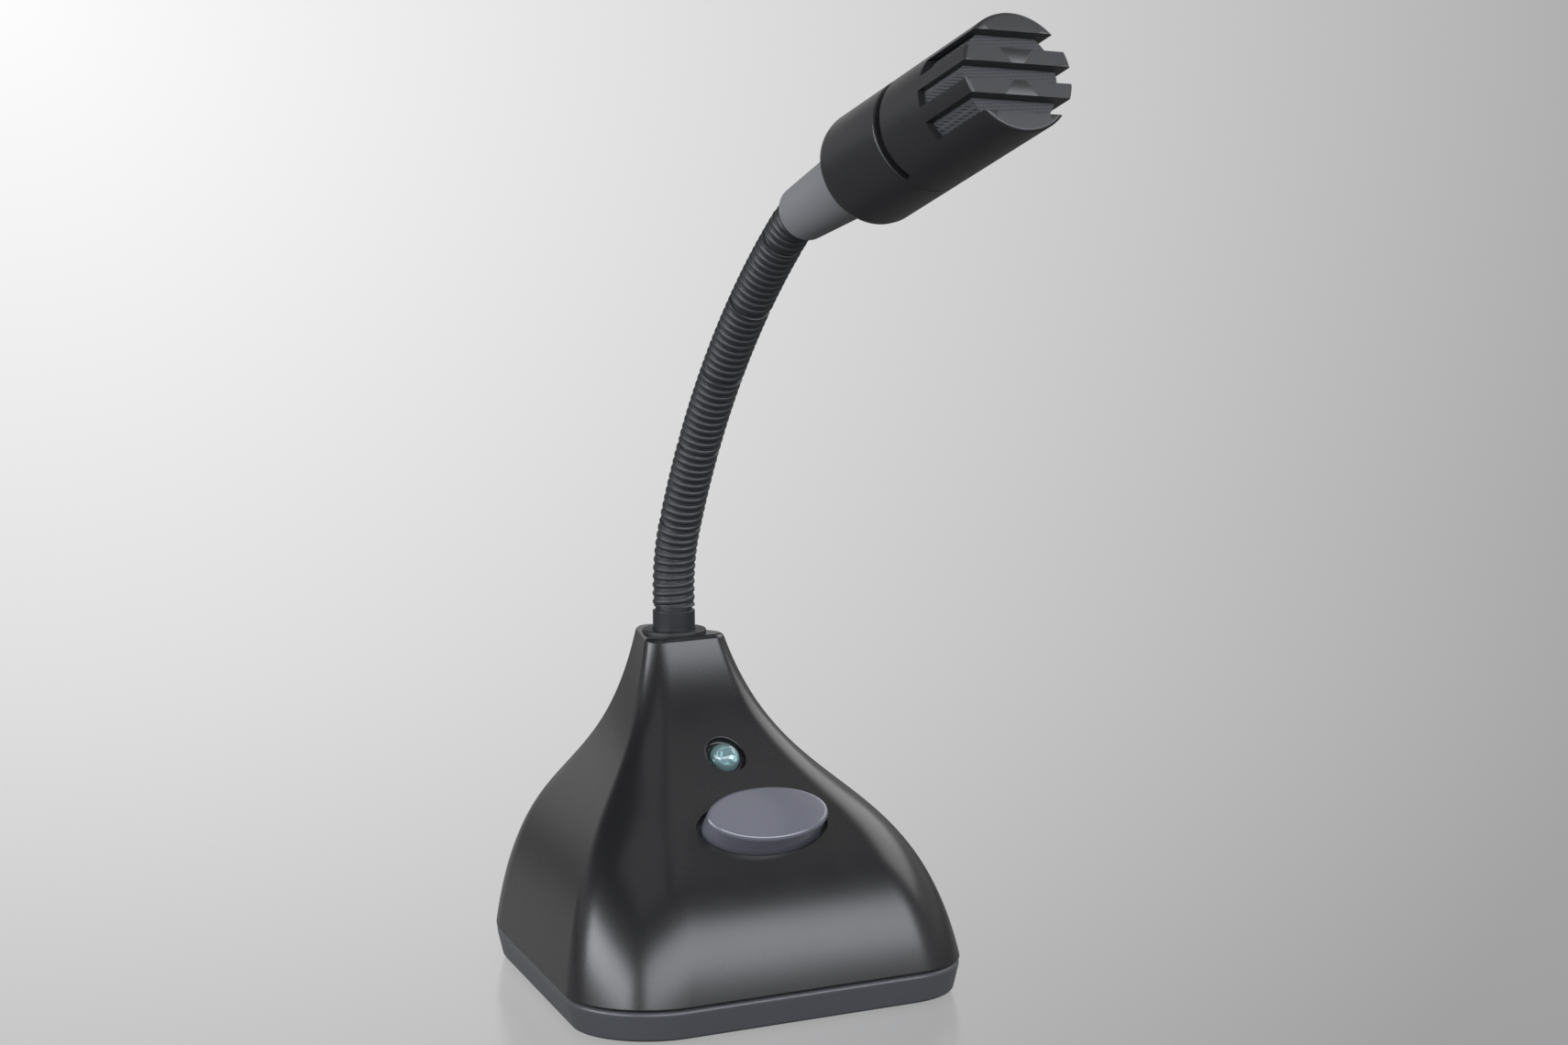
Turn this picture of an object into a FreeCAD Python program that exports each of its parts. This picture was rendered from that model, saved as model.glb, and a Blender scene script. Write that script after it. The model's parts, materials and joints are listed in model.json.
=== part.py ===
"""Gooseneck desk microphone: weighted three-sided base, flexible neck, slotted head.

Millimetres, +Z up. The origin is on the resting plane, under the neck where it leaves the base.
-Y is the front, where the push button and the light are. The part is symmetric about X = 0,
apart from the head, which is screwed on with its slots a few degrees off level.
"""
import FreeCAD, Part
import math
import os

Vec = FreeCAD.Vector
X_AXIS, Y_AXIS, Z_AXIS = Vec(1, 0, 0), Vec(0, 1, 0), Vec(0, 0, 1)

# ---- base footprint at the parting line: arcs about three corner centres, the widest at the rear
BASE_CORNER_X = 22.9
BASE_FRONT_Y = 31.6
BASE_CORNER_R = 15.1
BASE_REAR_Y = 16.0
BASE_REAR_R = 25.8
# ---- the same outline at the top of the bell
TOP_CORNER_X = 4.6
TOP_FRONT_Y = 3.6
TOP_CORNER_R = 3.0
TOP_REAR_Y = 8.0
TOP_REAR_R = 3.0
# ---- bell: how the outline shrinks with height follows one cubic curve with two handles
BELL_HEIGHT = 56.0
BELL_LOWER_HANDLE = 34.7
BELL_UPPER_HANDLE = 31.1
BELL_LOWER_SPREAD = 0.81
BELL_UPPER_SPREAD = 0.26
BELL_SECTIONS = 14
BELL_WALL = 2.8
BELL_CROWN = 11.0
TOP_EDGE_R = 0.7
# ---- tray
FOOT_PROUD = 0.6
TRAY_HEIGHT = 5.5
TRAY_TAPER = 1.3
TRAY_FLOOR = 2.0
PARTING_GAP = 0.5
LIP_HEIGHT = 2.2
LIP_WALL = 1.6
LIP_GAP = 0.8
# ---- feet and case screws
FOOT_R = 5.0
FOOT_THICK = 1.4
FOOT_GAP = 0.1
FOOT_OUTSET = 4.0
SCREW_INSET = 8.0
SCREW_R = 1.45
SCREW_HEAD_R = 3.0
SCREW_HEAD_H = 1.2
SCREW_LENGTH = 15.0
SCREW_GAP = 0.05
SCREW_RECESS = 0.2
SCREW_CLEAR = 0.15
HEAD_CLEAR = 0.3
BOSS_R = 3.4
BOSS_GAP = 0.1
BOSS_SKIN = 1.0
DRIVE_R = 1.0
DRIVE_DEPTH = 0.7
# ---- ballast
PAD_THICK = 0.5
BALLAST_THICK = 4.0
BALLAST_GAP = 0.5
BALLAST_HOLE_GAP = 0.5
# ---- push button and its switch, measured along the front face's normal at the button
BUTTON_HEIGHT = 32.8
BUTTON_HALF_W = 11.9
BUTTON_HALF_H = 5.9
BUTTON_PROUD = 4.0
BUTTON_EDGE_R = 0.9
BUTTON_END_GAP = 0.9
BUTTON_SIDE_GAP = 0.3
BUTTON_TRAVEL = 1.5
BUTTON_FLANGE = 1.6
FLANGE_CLEAR = 0.1
FLANGE_THICK = 1.2
FLANGE_GAP = 1.1
STEM_R = 2.2
STEM_LENGTH = 1.6
PLUNGER_R = 1.6
PLUNGER_SHOWN = 2.0
PLUNGER_HIDDEN = 1.8
PLUNGER_GAP = 0.05
SWITCH_SIZE = 12.0
SWITCH_THICK = 4.4
# ---- indicator light
LED_HEIGHT = 43.1
LED_R = 2.8
LED_PROUD = 1.6
LED_LENGTH = 8.6
LED_RIM = 0.35
LED_RIM_THICK = 1.0
LED_FIT = 0.05
HOLDER_WALL = 0.8
HOLDER_SUNK = 1.0
HOLDER_LENGTH = 4.2
HOLDER_FLANGE = 1.0
HOLDER_FLANGE_THICK = 1.2
LEAD_R = 0.3
LEAD_SPACING = 2.54
LEAD_GAP = 0.15
# ---- control board
BOARD_BOSS_GAP = 1.4
BOARD_LOW = 15.0
BOARD_HIGH = 21.0
BOARD_THICK = 1.6
BOARD_CORNER_R = 2.0
POST_R = 2.4
POST_INSET = 3.4
POST_BELOW_TOP = 9.8
BOARD_SCREW_R = 0.95
BOARD_SCREW_HEAD_R = 1.8
BOARD_SCREW_HEAD_H = 1.3
BOARD_SCREW_LENGTH = 6.0
PLUG_W = 7.0
PLUG_H = 5.0
PLUG_THICK = 5.0
PLUG_INSET = 4.4
PLUG_V = 3.0
CHIP_W = 8.0
CHIP_H = 5.0
CHIP_THICK = 1.4
# ---- jack socket at the rear corner
JACK_HEIGHT = 14.5
JACK_BORE_R = 1.8
JACK_BORE_DEPTH = 14.0
JACK_BUSH_WALL = 1.2
JACK_BUSH_PROUD = 0.6
JACK_BODY_W = 8.0
JACK_BODY_H = 8.0
JACK_BODY_L = 9.0
JACK_SEAT_WALL = 1.8
JACK_SEAT_CLEAR = 0.6
JACK_NUT_WIDTH = 1.8
JACK_NUT_THICK = 1.6
JACK_FIT = 0.05
# ---- leads inside the base
WIRE_R = 0.9
MIC_WIRE_BOW = 5.0
JACK_WIRE_DROP = 4.0
JACK_WIRE_X = 3.0
JACK_WIRE_LEAD = 3.0
JACK_WIRE_GAP = 1.8
WIRE_END_GAP = 0.05
# ---- neck
NECK_R = 3.8
NECK_BORE_R = 1.6
NECK_STRAIGHT = 7.6
NECK_ARCS = ((30.5, 22.3), (150.0, 48.8), (14.0, 69.0))
NECK_SECTIONS = 11
FERRULE_SHOWN = 4.5
FERRULE_BELOW = 18.0
DOME_PROUD = 0.2
CUP_GAP = 0.2
NECK_TAIL = 6.0
COLLAR_WIDTH = 2.0
COLLAR_THICK = 0.7
COLLAR_SLEEVE = 1.1
COLLAR_DEPTH = 6.0
NECK_FIT = 0.05
WASHER_WIDTH = 1.8
WASHER_THICK = 0.8
WASHER_CLEAR = 0.05
NUT_WIDTH = 1.6
NUT_THICK = 3.2
# ---- head, stations measured along its axis from the rear of the ferrule
HEAD_ROLL = 5.0
CONE_REAR_WALL = 1.0
CONE_FRONT_STEP = 3.55
CONE_LENGTH = 22.0
SPIGOT_STEP = 0.8
SPIGOT_LENGTH = 7.0
LEAD_HOLE_R = 2.0
HEAD_R = 9.75
SHOULDER_R = 2.6
BARREL_LENGTH = 19.5
BARREL_REAR_WALL = 3.4
BARREL_FIT = 0.05
NECKDOWN_LENGTH = 3.6
NECKDOWN_WALL = 1.3
HEAD_NUT_WIDTH = 1.3
HEAD_NUT_THICK = 2.6
SEAM_GAP = 1.9
SEAM_KEY_ANGLE = 60.0
SEAM_KEY_FIT = 0.05
CAP_LENGTH = 26.7
CAP_WALL = 1.2
CAP_FRONT_WALL = 2.6
CAP_EDGE_R = 0.5
SLOT_COUNT = 3
SLOT_PITCH = 5.2
SLOT_HEIGHT = 2.8
SLOT_LENGTH = 14.3
SCREEN_GAP = 0.05
SCREEN_WALL = 0.8
SCREEN_LENGTH = 19.0
CAPSULE_R = 4.85
CAPSULE_LENGTH = 6.7
CAPSULE_PORT_R = 1.2
CAPSULE_PORT_DEPTH = 0.8
FOAM_THICK = 2.0
BOOT_GAP = 0.05
BOOT_OVERHANG = 1.5
BOOT_FLOOR = 1.0
HEAD_BOARD_THICK = 1.2
HEAD_BOARD_GAP = 1.4
PIN_R = 0.35
PIN_SPACING = 2.54

# ---- radii that follow
DOME_R = NECK_R + DOME_PROUD
COLLAR_R = NECK_R + COLLAR_WIDTH
WASHER_R = NECK_R + WASHER_WIDTH
NUT_R = NECK_R + NUT_WIDTH
CONE_REAR_R = NECK_R + CONE_REAR_WALL
CONE_FRONT_R = HEAD_R - CONE_FRONT_STEP
SPIGOT_R = CONE_FRONT_R - SPIGOT_STEP
HEAD_NUT_R = SPIGOT_R + HEAD_NUT_WIDTH
JACK_BUSH_R = JACK_BORE_R + JACK_BUSH_WALL
JACK_NUT_R = JACK_BUSH_R + JACK_NUT_WIDTH
JACK_SEAT_R = JACK_NUT_R + JACK_SEAT_CLEAR
# ---- heights that follow
TRAY_Z = FOOT_PROUD
PARTING_Z = TRAY_Z + TRAY_HEIGHT
BELL_Z = PARTING_Z + PARTING_GAP
TOP_Z = BELL_Z + BELL_HEIGHT
FLOOR_Z = TRAY_Z + TRAY_FLOOR
CROWN_Z = TOP_Z - BELL_CROWN


# ---------------------------------------------------------------- general helpers
def cylinder(radius, length, base=Vec(0, 0, 0), direction=Z_AXIS):
    return Part.makeCylinder(radius, length, base, direction)


def tube(outer, inner, length, base=Vec(0, 0, 0), direction=Z_AXIS):
    return cylinder(outer, length, base, direction).cut(cylinder(inner, length, base, direction))


def box(x_half, y_low, y_high, z_low, z_high):
    return Part.makeBox(2 * x_half, y_high - y_low, z_high - z_low, Vec(-x_half, y_low, z_low))


def hexagon(radius, length, z):
    """Prism with six sides about +Z, by its corner radius."""
    angles = [math.radians(60 * k) for k in range(7)]
    corners = [Vec(radius * math.cos(a), radius * math.sin(a), z) for a in angles]
    return Part.Face(Part.makePolygon(corners)).extrude(Z_AXIS * length)


def ellipse_prism(half_x, half_y, z_low, z_high):
    """Prism about +Z over an ellipse that is longest along X."""
    curve = Part.Ellipse(Vec(0, 0, z_low), half_x, half_y)
    return Part.Face(Part.Wire(curve.toShape())).extrude(Z_AXIS * (z_high - z_low))


def rounded_rectangle(half_x, y_low, y_high, radius, z_low, z_high):
    block = box(half_x, y_low, y_high, z_low, z_high)
    upright = [e for e in block.Edges if abs(e.BoundBox.ZLength - (z_high - z_low)) < 1e-6]
    return block.makeFillet(radius, upright)


def ring_edges(shape, z, radius):
    """The circular edges at one height and radius about the Z axis."""
    found = []
    for edge in shape.Edges:
        flat = edge.BoundBox.ZLength < 1e-4 and abs(edge.BoundBox.ZMin - z) < 1e-3
        if flat and abs(edge.BoundBox.XMax - radius) < 1e-3:
            found.append(edge)
    return found


def placed(shape, origin, x_dir, y_dir, z_dir):
    """The shape moved from the world's frame into another right-handed one."""
    moved = shape.copy()
    frame = FreeCAD.Placement(origin, FreeCAD.Rotation(x_dir, y_dir, z_dir, "ZXY"))
    moved.Placement = frame.multiply(moved.Placement)
    return moved


def save(name, *solids):
    shape = solids[0] if len(solids) == 1 else Part.makeCompound(list(solids))
    shape.exportStep(os.path.join("parts", name + ".step"))


# ---------------------------------------------------------------- base outline
def outline(sizes, inset, z):
    """Closed wire, inside an outline by an inset: arcs about three centres, with tangent lines between.

    The sizes are the front corners' x, y and radius, then the rear corner's y and radius.
    """
    corner_x, front_y, corner_r, rear_y, rear_r = sizes
    centres = [Vec(corner_x, -front_y, z), Vec(0, rear_y, z), Vec(-corner_x, -front_y, z)]
    radii = [corner_r - inset, rear_r - inset, corner_r - inset]
    normals = []
    for k in range(3):
        side = centres[(k + 1) % 3] - centres[k]
        lean = (radii[k] - radii[(k + 1) % 3]) / side.Length
        side.normalize()
        normals.append(Vec(side.y, -side.x, 0) * math.sqrt(1 - lean * lean) + side * lean)
    edges = []
    for k in range(3):
        before, after = normals[k - 1], normals[k]
        middle = (before + after).normalize()
        start, end = centres[k] + before * radii[k], centres[k] + after * radii[k]
        edges.append(Part.Arc(start, centres[k] + middle * radii[k], end).toShape())
        edges.append(Part.makeLine(end, centres[(k + 1) % 3] + after * radii[(k + 1) % 3]))
    return Part.Wire(edges)


def base_sizes():
    return BASE_CORNER_X, BASE_FRONT_Y, BASE_CORNER_R, BASE_REAR_Y, BASE_REAR_R


def base_outline(inset, z):
    return outline(base_sizes(), inset, z)


def base_prism(inset, z_low, z_high):
    return Part.Face(base_outline(inset, z_low)).extrude(Z_AXIS * (z_high - z_low))


def cubic(t, a, b, c, d):
    return (1 - t) ** 3 * a + 3 * t * (1 - t) ** 2 * b + 3 * t * t * (1 - t) * c + t ** 3 * d


def bell_height_at(t):
    return cubic(t, BELL_Z, BELL_Z + BELL_LOWER_HANDLE, TOP_Z - BELL_UPPER_HANDLE, TOP_Z)


def bell_spread_at(t):
    """Share of the way from the top outline (0) to the base outline (1)."""
    return cubic(t, 1.0, BELL_LOWER_SPREAD, BELL_UPPER_SPREAD, 0.0)


def bell_parameter(z):
    low, high = 0.0, 1.0
    while high - low > 1e-9:
        middle = (low + high) / 2
        low, high = (middle, high) if bell_height_at(middle) < z else (low, middle)
    return (low + high) / 2


def bell_sizes(spread):
    top = (TOP_CORNER_X, TOP_FRONT_Y, TOP_CORNER_R, TOP_REAR_Y, TOP_REAR_R)
    return [a + (b - a) * spread for a, b in zip(top, base_sizes())]


def bell_sizes_at(z):
    return bell_sizes(bell_spread_at(bell_parameter(z)))


def bell_solid(inset, z_high):
    """The bell's outer form, pulled in by an inset, from its lower edge up to a height."""
    last = bell_parameter(z_high)
    wires = []
    for k in range(BELL_SECTIONS):
        t = last * k / (BELL_SECTIONS - 1)
        wires.append(outline(bell_sizes(bell_spread_at(t)), inset, bell_height_at(t)))
    return Part.makeLoft(wires, True, False)


def front_y_at(z):
    corner_x, front_y, corner_r, rear_y, rear_r = bell_sizes_at(z)
    return -(front_y + corner_r)


def rear_y_at(z):
    corner_x, front_y, corner_r, rear_y, rear_r = bell_sizes_at(z)
    return rear_y + rear_r


def face_frame(z):
    """Point on the front face's middle line at a height, with its upward and outward directions."""
    step = 0.5
    up = Vec(0, front_y_at(z + step) - front_y_at(z - step), 2 * step).normalize()
    return Vec(0, front_y_at(z), z), up, X_AXIS.cross(up)


def corner_points(outset, z):
    """Points as far inside the three corners as the front centres, moved out from the neck's axis."""
    points = []
    rear_y = BASE_REAR_Y + BASE_REAR_R - BASE_CORNER_R
    for x, y in ((BASE_CORNER_X, -BASE_FRONT_Y), (0, rear_y), (-BASE_CORNER_X, -BASE_FRONT_Y)):
        reach = math.hypot(x, y)
        points.append(Vec(x * (reach + outset) / reach, y * (reach + outset) / reach, z))
    return points


# ---------------------------------------------------------------- base pieces
def base_tray():
    lower = base_outline(TRAY_TAPER, TRAY_Z)
    body = Part.makeLoft([lower, base_outline(0, PARTING_Z)], True, True)
    lip_inset = BELL_WALL + LIP_GAP
    body = body.fuse(base_prism(lip_inset, PARTING_Z - 1, PARTING_Z + LIP_HEIGHT))
    body = body.cut(base_prism(lip_inset + LIP_WALL, FLOOR_Z, PARTING_Z + LIP_HEIGHT))
    for point in corner_points(-SCREW_INSET, FLOOR_Z - 0.5):
        body = body.fuse(cylinder(BOSS_R, PARTING_Z - point.z, point))
    for point in corner_points(-SCREW_INSET, TRAY_Z):
        body = body.cut(cylinder(SCREW_HEAD_R + HEAD_CLEAR, SCREW_RECESS + SCREW_HEAD_H, point))
        body = body.cut(cylinder(SCREW_R + SCREW_CLEAR, PARTING_Z, point))
    for point in corner_points(FOOT_OUTSET, TRAY_Z):
        body = body.cut(cylinder(FOOT_R + FOOT_GAP, FOOT_THICK - FOOT_PROUD, point))
    return body


def rubber_foot(point):
    pad = cylinder(FOOT_R, FOOT_THICK, point)
    return pad.makeFillet(FOOT_PROUD * 0.6, [e for e in pad.Edges if e.BoundBox.ZMax < point.z + 1e-3])


def case_screw(point):
    """Self-tapping screw, head down, with a round drive recess."""
    head = cylinder(SCREW_HEAD_R, SCREW_HEAD_H, point)
    shank = cylinder(SCREW_R, SCREW_LENGTH, point)
    return head.fuse(shank).cut(cylinder(DRIVE_R, DRIVE_DEPTH, point))


def ballast_outline_inset():
    return BELL_WALL + LIP_GAP + LIP_WALL + BALLAST_GAP


def ballast_layer(z_low, z_high):
    body = base_prism(ballast_outline_inset(), z_low, z_high)
    for point in corner_points(-SCREW_INSET, z_low):
        body = body.cut(cylinder(BOSS_R + BALLAST_HOLE_GAP, z_high - z_low, point))
    return body


def in_button_frame(shape):
    origin, up, out = face_frame(BUTTON_HEIGHT)
    return placed(shape, origin, X_AXIS, up, out)


def led_place():
    """Where the light's axis meets the front face, in the button's frame: up the slope, and out."""
    origin, up, out = face_frame(BUTTON_HEIGHT)
    offset = Vec(0, front_y_at(LED_HEIGHT), LED_HEIGHT) - origin
    return offset.dot(up), offset.dot(out)


def wall_along_normal():
    """Thickness of the bell's wall, measured square to the front face at the button."""
    origin, up, out = face_frame(BUTTON_HEIGHT)
    return BELL_WALL * abs(out.y)


def flange_top():
    return -(wall_along_normal() + FLANGE_GAP)


def switch_top():
    return flange_top() - FLANGE_THICK - STEM_LENGTH - PLUNGER_SHOWN


def board_top():
    return switch_top() - SWITCH_THICK


def board_bottom():
    return board_top() - BOARD_THICK


def board_half_w():
    """The board passes between the two front screw bosses."""
    boss = corner_points(-SCREW_INSET, 0)[0]
    return boss.x - BOSS_R - BOARD_BOSS_GAP


def plug_x():
    """How far each plug stands from the board's middle."""
    return board_half_w() - PLUG_INSET


def post_points(w):
    """Middles of the four board posts, at a depth behind the face."""
    x = board_half_w() - POST_INSET
    low, high = POST_INSET - BOARD_LOW, BOARD_HIGH - POST_BELOW_TOP
    return [Vec(side * x, v, w) for side in (-1, 1) for v in (low, high)]


def upper_shell():
    shell = bell_solid(0, TOP_Z)
    rim = [e for e in shell.Edges if e.BoundBox.ZMin > TOP_Z - 1e-3]
    shell = shell.makeFillet(TOP_EDGE_R, rim)
    shell = shell.cut(bell_solid(BELL_WALL, CROWN_Z))
    inside = bell_solid(BOSS_SKIN, CROWN_Z)
    screw_top = TRAY_Z + SCREW_RECESS + SCREW_LENGTH
    for point in corner_points(-SCREW_INSET, PARTING_Z + BOSS_GAP):
        shell = shell.fuse(cylinder(BOSS_R, TOP_Z, point).common(inside_from(point.z, inside)))
        shell = shell.cut(cylinder(SCREW_R + SCREW_GAP, screw_top + 1 - point.z, point))
    posts = [cylinder(POST_R, -board_top(), p) for p in post_points(board_top())]
    for post in posts:
        shell = shell.fuse(in_button_frame(post).common(inside))
    drill_top = board_bottom() + BOARD_SCREW_LENGTH + 1
    for point in post_points(board_bottom()):
        hole = cylinder(BOARD_SCREW_R + SCREW_GAP, drill_top - board_bottom(), point)
        shell = shell.cut(in_button_frame(hole))
    half_w, half_h = BUTTON_HALF_W + BUTTON_END_GAP, BUTTON_HALF_H + BUTTON_SIDE_GAP
    shell = shell.cut(in_button_frame(ellipse_prism(half_w, half_h, flange_top(), BUTTON_PROUD)))
    half_w, half_h = [half + BUTTON_FLANGE + FLANGE_CLEAR for half in (BUTTON_HALF_W, BUTTON_HALF_H)]
    relief_low = switch_top() + PLUNGER_SHOWN - BUTTON_TRAVEL
    shell = shell.cut(in_button_frame(ellipse_prism(half_w, half_h, relief_low, flange_top())))
    led_v, led_w = led_place()
    hole_r = LED_R + HOLDER_WALL + 2 * LED_FIT
    hole = cylinder(hole_r, 2 * HOLDER_LENGTH, Vec(0, led_v, led_w - HOLDER_LENGTH))
    shell = shell.cut(in_button_frame(hole))
    shell = shell.cut(cylinder(NECK_R + COLLAR_SLEEVE + 2 * NECK_FIT, BELL_CROWN, Vec(0, 0, CROWN_Z)))
    washer_room = WASHER_THICK + NUT_THICK
    shell = shell.cut(cylinder(WASHER_R + WASHER_CLEAR, washer_room, Vec(0, 0, CROWN_Z - washer_room)))
    seat = Vec(0, jack_seat_y(), JACK_HEIGHT)
    through = seat - Y_AXIS * JACK_BODY_L
    shell = shell.cut(cylinder(JACK_BUSH_R + JACK_FIT, BASE_REAR_Y, through, Y_AXIS))
    return shell.cut(cylinder(JACK_SEAT_R, BASE_REAR_Y, seat, Y_AXIS))


def inside_from(z, inside):
    """The bell's inner form, carried straight down to a height below its lower edge."""
    return inside.fuse(base_prism(BELL_WALL + LIP_GAP + LIP_WALL, z, BELL_Z + LIP_HEIGHT))


def push_button():
    """Oval cap with a rounded edge, a flange that keeps it in the shell and a stem."""
    cap = ellipse_prism(BUTTON_HALF_W, BUTTON_HALF_H, flange_top(), BUTTON_PROUD)
    rim = [e for e in cap.Edges if e.BoundBox.ZMin > BUTTON_PROUD - 1e-3]
    cap = cap.makeFillet(BUTTON_EDGE_R, rim)
    under = flange_top() - FLANGE_THICK
    half_w, half_h = BUTTON_HALF_W + BUTTON_FLANGE, BUTTON_HALF_H + BUTTON_FLANGE
    flange = ellipse_prism(half_w, half_h, under, flange_top())
    stem = cylinder(STEM_R, STEM_LENGTH, Vec(0, 0, under - STEM_LENGTH))
    return in_button_frame(cap.fuse(flange).fuse(stem))


def switch_plunger():
    length = PLUNGER_SHOWN + PLUNGER_HIDDEN
    return in_button_frame(cylinder(PLUNGER_R, length, Vec(0, 0, switch_top() - PLUNGER_HIDDEN)))


def switch_body():
    half = SWITCH_SIZE / 2
    body = box(half, -half, half, board_top(), switch_top())
    depth = PLUNGER_HIDDEN + BUTTON_TRAVEL + PLUNGER_GAP
    well = cylinder(PLUNGER_R + PLUNGER_GAP, depth, Vec(0, 0, switch_top() - depth))
    return in_button_frame(body.cut(well))


def led_holder():
    """Sleeve round the light, sunk in the face, with a flange behind the shell."""
    led_v, led_w = led_place()
    top = led_w - HOLDER_SUNK
    outer = LED_R + HOLDER_WALL
    sleeve = cylinder(outer, HOLDER_LENGTH, Vec(0, led_v, top - HOLDER_LENGTH))
    flange = cylinder(outer + HOLDER_FLANGE, HOLDER_FLANGE_THICK, Vec(0, led_v, top - HOLDER_LENGTH))
    bore = cylinder(LED_R + LED_FIT, HOLDER_LENGTH, Vec(0, led_v, top - HOLDER_LENGTH))
    return in_button_frame(sleeve.fuse(flange).cut(bore))


def led_base_w():
    led_v, led_w = led_place()
    return led_w + LED_PROUD - LED_LENGTH


def indicator_led():
    """Domed lens with its rim and two leads that reach through the board."""
    led_v, led_w = led_place()
    base = led_base_w()
    body = cylinder(LED_R, LED_LENGTH - LED_R, Vec(0, led_v, base))
    body = body.fuse(Part.makeSphere(LED_R, Vec(0, led_v, base + LED_LENGTH - LED_R)))
    body = body.fuse(cylinder(LED_R + LED_RIM, LED_RIM_THICK, Vec(0, led_v, base)))
    for side in (-0.5, 0.5):
        start = Vec(side * LEAD_SPACING, led_v, board_bottom())
        body = body.fuse(cylinder(LEAD_R, base - board_bottom() + LED_RIM_THICK, start))
    return in_button_frame(body)


def control_board():
    led_v, led_w = led_place()
    low, high = board_bottom(), board_top()
    board = rounded_rectangle(board_half_w(), -BOARD_LOW, BOARD_HIGH, BOARD_CORNER_R, low, high)
    for point in post_points(board_bottom()):
        board = board.cut(cylinder(BOARD_SCREW_R + SCREW_CLEAR, BOARD_THICK, point))
    for side in (-0.5, 0.5):
        point = Vec(side * LEAD_SPACING, led_v, board_bottom())
        board = board.cut(cylinder(LEAD_R + LEAD_GAP, BOARD_THICK, point))
    return in_button_frame(board)


def board_screw(point):
    head = cylinder(BOARD_SCREW_HEAD_R, BOARD_SCREW_HEAD_H, point - Z_AXIS * BOARD_SCREW_HEAD_H)
    shank = cylinder(BOARD_SCREW_R, BOARD_SCREW_LENGTH, point)
    return in_button_frame(head.fuse(shank))


def board_plug(side):
    """Two-way wire connector on the board's back."""
    body = Part.makeBox(PLUG_W, PLUG_H, PLUG_THICK, Vec(-PLUG_W / 2, -PLUG_H / 2, 0))
    return in_button_frame(body.translate(Vec(side * plug_x(), PLUG_V, board_bottom() - PLUG_THICK)))


def plug_exit(side):
    """Middle of a connector's open face, in the world's frame, and the way the wire leaves."""
    origin, up, out = face_frame(BUTTON_HEIGHT)
    w = board_bottom() - PLUG_THICK - WIRE_END_GAP
    return origin + X_AXIS * (side * plug_x()) + up * PLUG_V + out * w, out * -1


def amplifier_chip():
    body = Part.makeBox(CHIP_W, CHIP_H, CHIP_THICK, Vec(-CHIP_W / 2, -CHIP_H / 2, 0))
    return in_button_frame(body.translate(Vec(0, -PLUG_V, board_bottom() - CHIP_THICK)))


# ---------------------------------------------------------------- jack and leads in the base
def jack_seat_y():
    """The flat that the jack's nut bears on, cut into the rear corner so that a wall is left."""
    return rear_y_at(JACK_HEIGHT) - BELL_WALL + JACK_SEAT_WALL


def jack_body_front_y():
    """Front of the jack's square body, behind the wall's inner face at the body's top corners."""
    corner_x, front_y, corner_r, rear_y, rear_r = bell_sizes_at(JACK_HEIGHT + JACK_BODY_H / 2)
    inner = rear_r - BELL_WALL
    return rear_y + math.sqrt(inner ** 2 - (JACK_BODY_W / 2) ** 2) - JACK_FIT


def jack_socket():
    mouth_y = jack_seat_y() + JACK_NUT_THICK + JACK_BUSH_PROUD
    inner_y = jack_body_front_y()
    bush = cylinder(JACK_BUSH_R, mouth_y - inner_y, Vec(0, inner_y, JACK_HEIGHT), Y_AXIS)
    low, high = JACK_HEIGHT - JACK_BODY_H / 2, JACK_HEIGHT + JACK_BODY_H / 2
    body = box(JACK_BODY_W / 2, inner_y - JACK_BODY_L, inner_y, low, high)
    bore = cylinder(JACK_BORE_R, JACK_BORE_DEPTH, Vec(0, mouth_y - JACK_BORE_DEPTH, JACK_HEIGHT), Y_AXIS)
    return body.fuse(bush).cut(bore)


def jack_nut():
    seat = Vec(0, jack_seat_y(), JACK_HEIGHT)
    return tube(JACK_NUT_R, JACK_BUSH_R + JACK_FIT, JACK_NUT_THICK, seat, Y_AXIS)


def wire_run(points):
    """Round wire along straight runs that are joined by tangent arcs."""
    edges = []
    start = points[0]
    for before, corner, after in zip(points, points[1:], points[2:]):
        first, second = (corner - before), (after - corner)
        turn = first.getAngle(second)
        cut = 0.45 * min(first.Length, second.Length)
        radius = cut / math.tan(turn / 2)
        arc_start = corner - first.normalize() * cut
        arc_end = corner + second.normalize() * cut
        centre_way = (arc_start + arc_end) * 0.5 - corner
        depth = radius / math.cos(turn / 2) - radius
        middle = corner + centre_way.normalize() * depth
        edges += [Part.makeLine(start, arc_start), Part.Arc(arc_start, middle, arc_end).toShape()]
        start = arc_end
    edges.append(Part.makeLine(start, points[-1]))
    path = Part.Wire(edges)
    profile = Part.Wire(Part.Circle(points[0], points[1] - points[0], WIRE_R).toShape())
    return path.makePipeShell([profile], True, False)


def mic_wire():
    """From the bottom of the neck's ferrule to the left connector."""
    plug, way = plug_exit(-1)
    start = Vec(0, 0, TOP_Z - FERRULE_BELOW - WIRE_END_GAP)
    low = start - Z_AXIS * MIC_WIRE_BOW
    near = plug + way * MIC_WIRE_BOW
    middle = Vec((low.x + near.x) / 2, (low.y + near.y) / 2 + MIC_WIRE_BOW, (low.z + near.z) / 2)
    return wire_run([start, low, middle, near, plug])


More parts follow.
